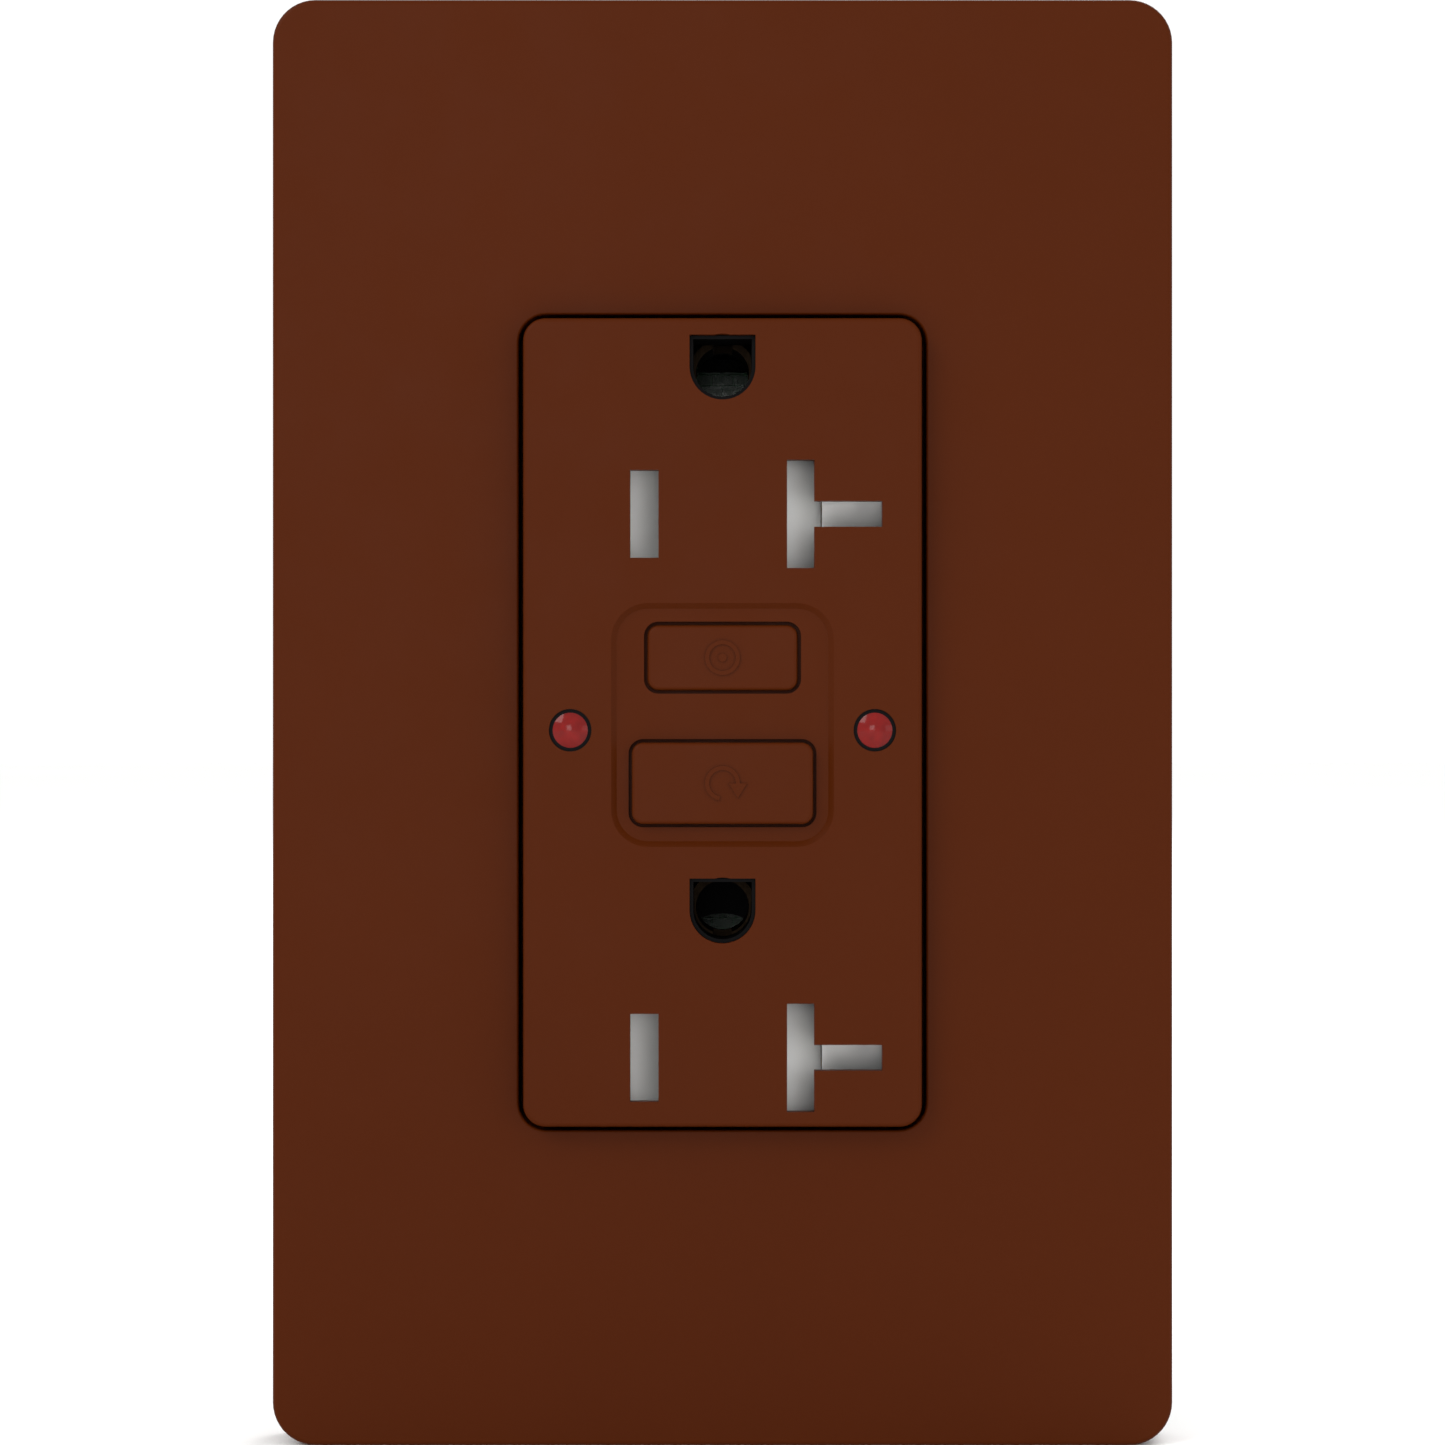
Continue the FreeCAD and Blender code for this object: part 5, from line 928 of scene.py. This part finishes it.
class RECEPTACLE_OT_board(bpy.types.Operator):
    """Solder the leads and the small parts on the back of the circuit board"""
    bl_idname = "receptacle.board"
    bl_label = "Board parts"

    def execute(self, context):
        parts = context.scene.receptacle_board
        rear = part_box("circuit_board")[1].y
        solder, bodies = bmesh.new(), bmesh.new()
        for x, z in self.leads():
            angles = [TURN / 4 * step / ARC_STEPS for step in range(ARC_STEPS + 1)]
            rise = parts.joint * JOINT_RISE
            arc = [(parts.joint * math.cos(angle), rise * math.sin(angle)) for angle in angles]
            dome = turned([(0, -parts.sunk), (parts.joint, -parts.sunk), *arc], JOINT_STEPS)
            join(solder, placed(dome, (0, 1, 0), (x, rear, z)))
        for column in range(parts.columns):
            for level in (parts.row_low, parts.row_high):
                x = (column - (parts.columns - 1) / 2) * parts.pitch
                place = (x, rear + parts.chip_height / 2, level)
                size = (parts.chip_length * CHIP_BODY, parts.chip_height, parts.chip_width)
                join(bodies, block(size, place))
                for side in (-1, 1):
                    cap = (x + side * parts.chip_length * CAP_PLACE, place[1], level)
                    size = (parts.chip_length * CAP_LENGTH, parts.chip_height, parts.chip_width)
                    join(solder, block(size, cap))
        finish_piece(solder, "solder_joints", "contact_silver", DEVICE)
        finish_piece(eased(bodies, parts.sunk / 2), "chip_resistors", "chip_black", DEVICE)
        return {"FINISHED"}

    def leads(self):
        """Where the leads of the coil, capacitor, varistor and core cup come through the board."""
        places = []
        for node, columns in (("capacitor", (0,)), ("varistor", (0,)),
                              ("core_cup", (-LEAD_SPREAD, LEAD_SPREAD)),
                              ("solenoid_coil", (-COIL_SPREAD, COIL_SPREAD))):
            low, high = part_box(node)
            centre, reach = (low + high) / 2, (high - low) / 2
            for column in columns:
                for row in (-LEAD_SPREAD, LEAD_SPREAD):
                    places.append((centre.x + column * reach.x, centre.z + row * reach.z))
        return places


class RECEPTACLE_OT_marks(bpy.types.Operator):
    """Raise a ring and dot on the test button and a turning arrow on the reset button"""
    bl_idname = "receptacle.marks"
    bl_label = "Button marks"

    def execute(self, context):
        marks = context.scene.receptacle_marks
        band = marks.radius, marks.line, marks.relief
        ring = bow(*band, 1.0)
        dot = [(0, 0), (marks.line, 0), (marks.line, marks.relief), (0, marks.relief)]
        join(ring, turned(dot, DOT_STEPS))
        self.raise_mark(ring, "test_button", "test_mark")
        arrow = bow(*band, marks.sweep)
        join(arrow, arrow_head(*band))
        self.raise_mark(arrow, "reset_button", "reset_mark")
        return {"FINISHED"}

    def raise_mark(self, bm, node, name):
        """Sets the mark into the front of a button by half its height."""
        front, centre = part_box(node)[0].y, middle(node)
        sunk = bpy.context.scene.receptacle_marks.relief / 2
        finish_piece(placed(bm, (0, -1, 0), (centre.x, front + sunk, centre.z)), name, "button_brown", node)


class RECEPTACLE_OT_stage(bpy.types.Operator):
    """Set the floor, lights and camera"""
    bl_idname = "receptacle.stage"
    bl_label = "Stage"

    def execute(self, context):
        settings = context.scene.receptacle_stage
        self.floor(settings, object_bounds()[0].z)
        for name, place, size in LAMPS:
            self.lamp(f"{name}_light", place, size, getattr(settings, name))
        world = bpy.data.worlds.new("studio")
        world.use_nodes = True
        sky = world.node_tree.nodes["Background"]
        sky.inputs["Color"].default_value = (1, 1, 1, 1)
        sky.inputs["Strength"].default_value = settings.sky
        context.scene.world = world
        context.scene.view_settings.view_transform = "Standard"
        self.camera(context, settings)
        return {"FINISHED"}

    def floor(self, settings, level):
        """A pale floor under the plate."""
        finish, tree, shader, place = new_finish("pale_floor")
        cloud = noise(tree, place, FLOOR_CLOUD)
        tree.links.new(blended(tree, cloud, tinted(settings.pale, FLOOR_DIP), settings.pale),
                       shader.inputs["Base Color"])
        shader.inputs["Roughness"].default_value = 0.9
        bm = bmesh.new()
        bmesh.ops.create_grid(bm, x_segments=1, y_segments=1, size=FLOOR_HALF)
        bmesh.ops.translate(bm, vec=(0, 0, level), verts=bm.verts)
        mesh = bpy.data.meshes.new("floor")
        bm.to_mesh(mesh)
        bm.free()
        mesh.materials.append(finish)
        floor = bpy.data.objects.new("floor", mesh)
        bpy.context.scene.collection.objects.link(floor)
        floor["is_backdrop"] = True

    def lamp(self, name, place, size, power):
        """A square soft light aimed at the middle of the plate."""
        data = bpy.data.lights.new(name, "AREA")
        data.shape, data.size, data.energy = "SQUARE", size, power
        light = bpy.data.objects.new(name, data)
        light.matrix_world = facing(place, place)
        bpy.context.scene.collection.objects.link(light)

    def camera(self, context, settings):
        low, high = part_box("front_plate")
        data = bpy.data.cameras.new("camera")
        data.lens = data.sensor_width / 2 / math.tan(settings.view_half_angle)
        data.clip_start, data.clip_end = CLIP_NEAR, CLIP_FAR
        back = (high.z - low.z) / 2 / math.tan(settings.view_half_angle)
        camera = bpy.data.objects.new("camera", data)
        centre = (low + high) / 2
        camera.location = (centre.x, low.y + PLATE_EDGE - back, centre.z)
        camera.rotation_euler = (TURN / 4, 0, 0)
        context.scene.collection.objects.link(camera)
        context.scene.camera = camera


class RECEPTACLE_PT_panel(bpy.types.Panel):
    """Lists the steps that finish the receptacle"""
    bl_idname = "RECEPTACLE_PT_panel"
    bl_label = "Receptacle"
    bl_space_type = "VIEW_3D"
    bl_region_type = "UI"
    bl_category = "Receptacle"

    def draw(self, context):
        for operator in OPERATORS:
            self.layout.operator(operator.bl_idname)
        for settings in SETTINGS:
            group = getattr(context.scene, settings)
            for name in group.__annotations__:
                self.layout.prop(group, name)


SETTINGS = {
    "receptacle_plastic": PlasticSettings,
    "receptacle_metal": MetalSettings,
    "receptacle_circuit": CircuitSettings,
    "receptacle_thread": ThreadSettings,
    "receptacle_spring": SpringSettings,
    "receptacle_liner": ShadeLinerSettings,
    "receptacle_relief": ReliefSettings,
    "receptacle_board": BoardSettings,
    "receptacle_marks": MarkSettings,
    "receptacle_stage": StageSettings,
}
OPERATORS = (
    RECEPTACLE_OT_finishes,
    RECEPTACLE_OT_springs,
    RECEPTACLE_OT_screws,
    RECEPTACLE_OT_windings,
    RECEPTACLE_OT_shade_liners,
    RECEPTACLE_OT_housing,
    RECEPTACLE_OT_board,
    RECEPTACLE_OT_marks,
    RECEPTACLE_OT_stage,
)


def register():
    for group in SETTINGS.values():
        bpy.utils.register_class(group)
    for name, group in SETTINGS.items():
        setattr(bpy.types.Scene, name, PointerProperty(type=group))
    for item in (*OPERATORS, RECEPTACLE_PT_panel):
        bpy.utils.register_class(item)


def unregister():
    for item in (RECEPTACLE_PT_panel, *reversed(OPERATORS)):
        bpy.utils.unregister_class(item)
    for name, group in SETTINGS.items():
        delattr(bpy.types.Scene, name)
        bpy.utils.unregister_class(group)


def main():
    register()
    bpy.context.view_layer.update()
    for operator in OPERATORS:
        family, step = operator.bl_idname.split(".")
        getattr(getattr(bpy.ops, family), step)()


if __name__ == "__main__":
    main()
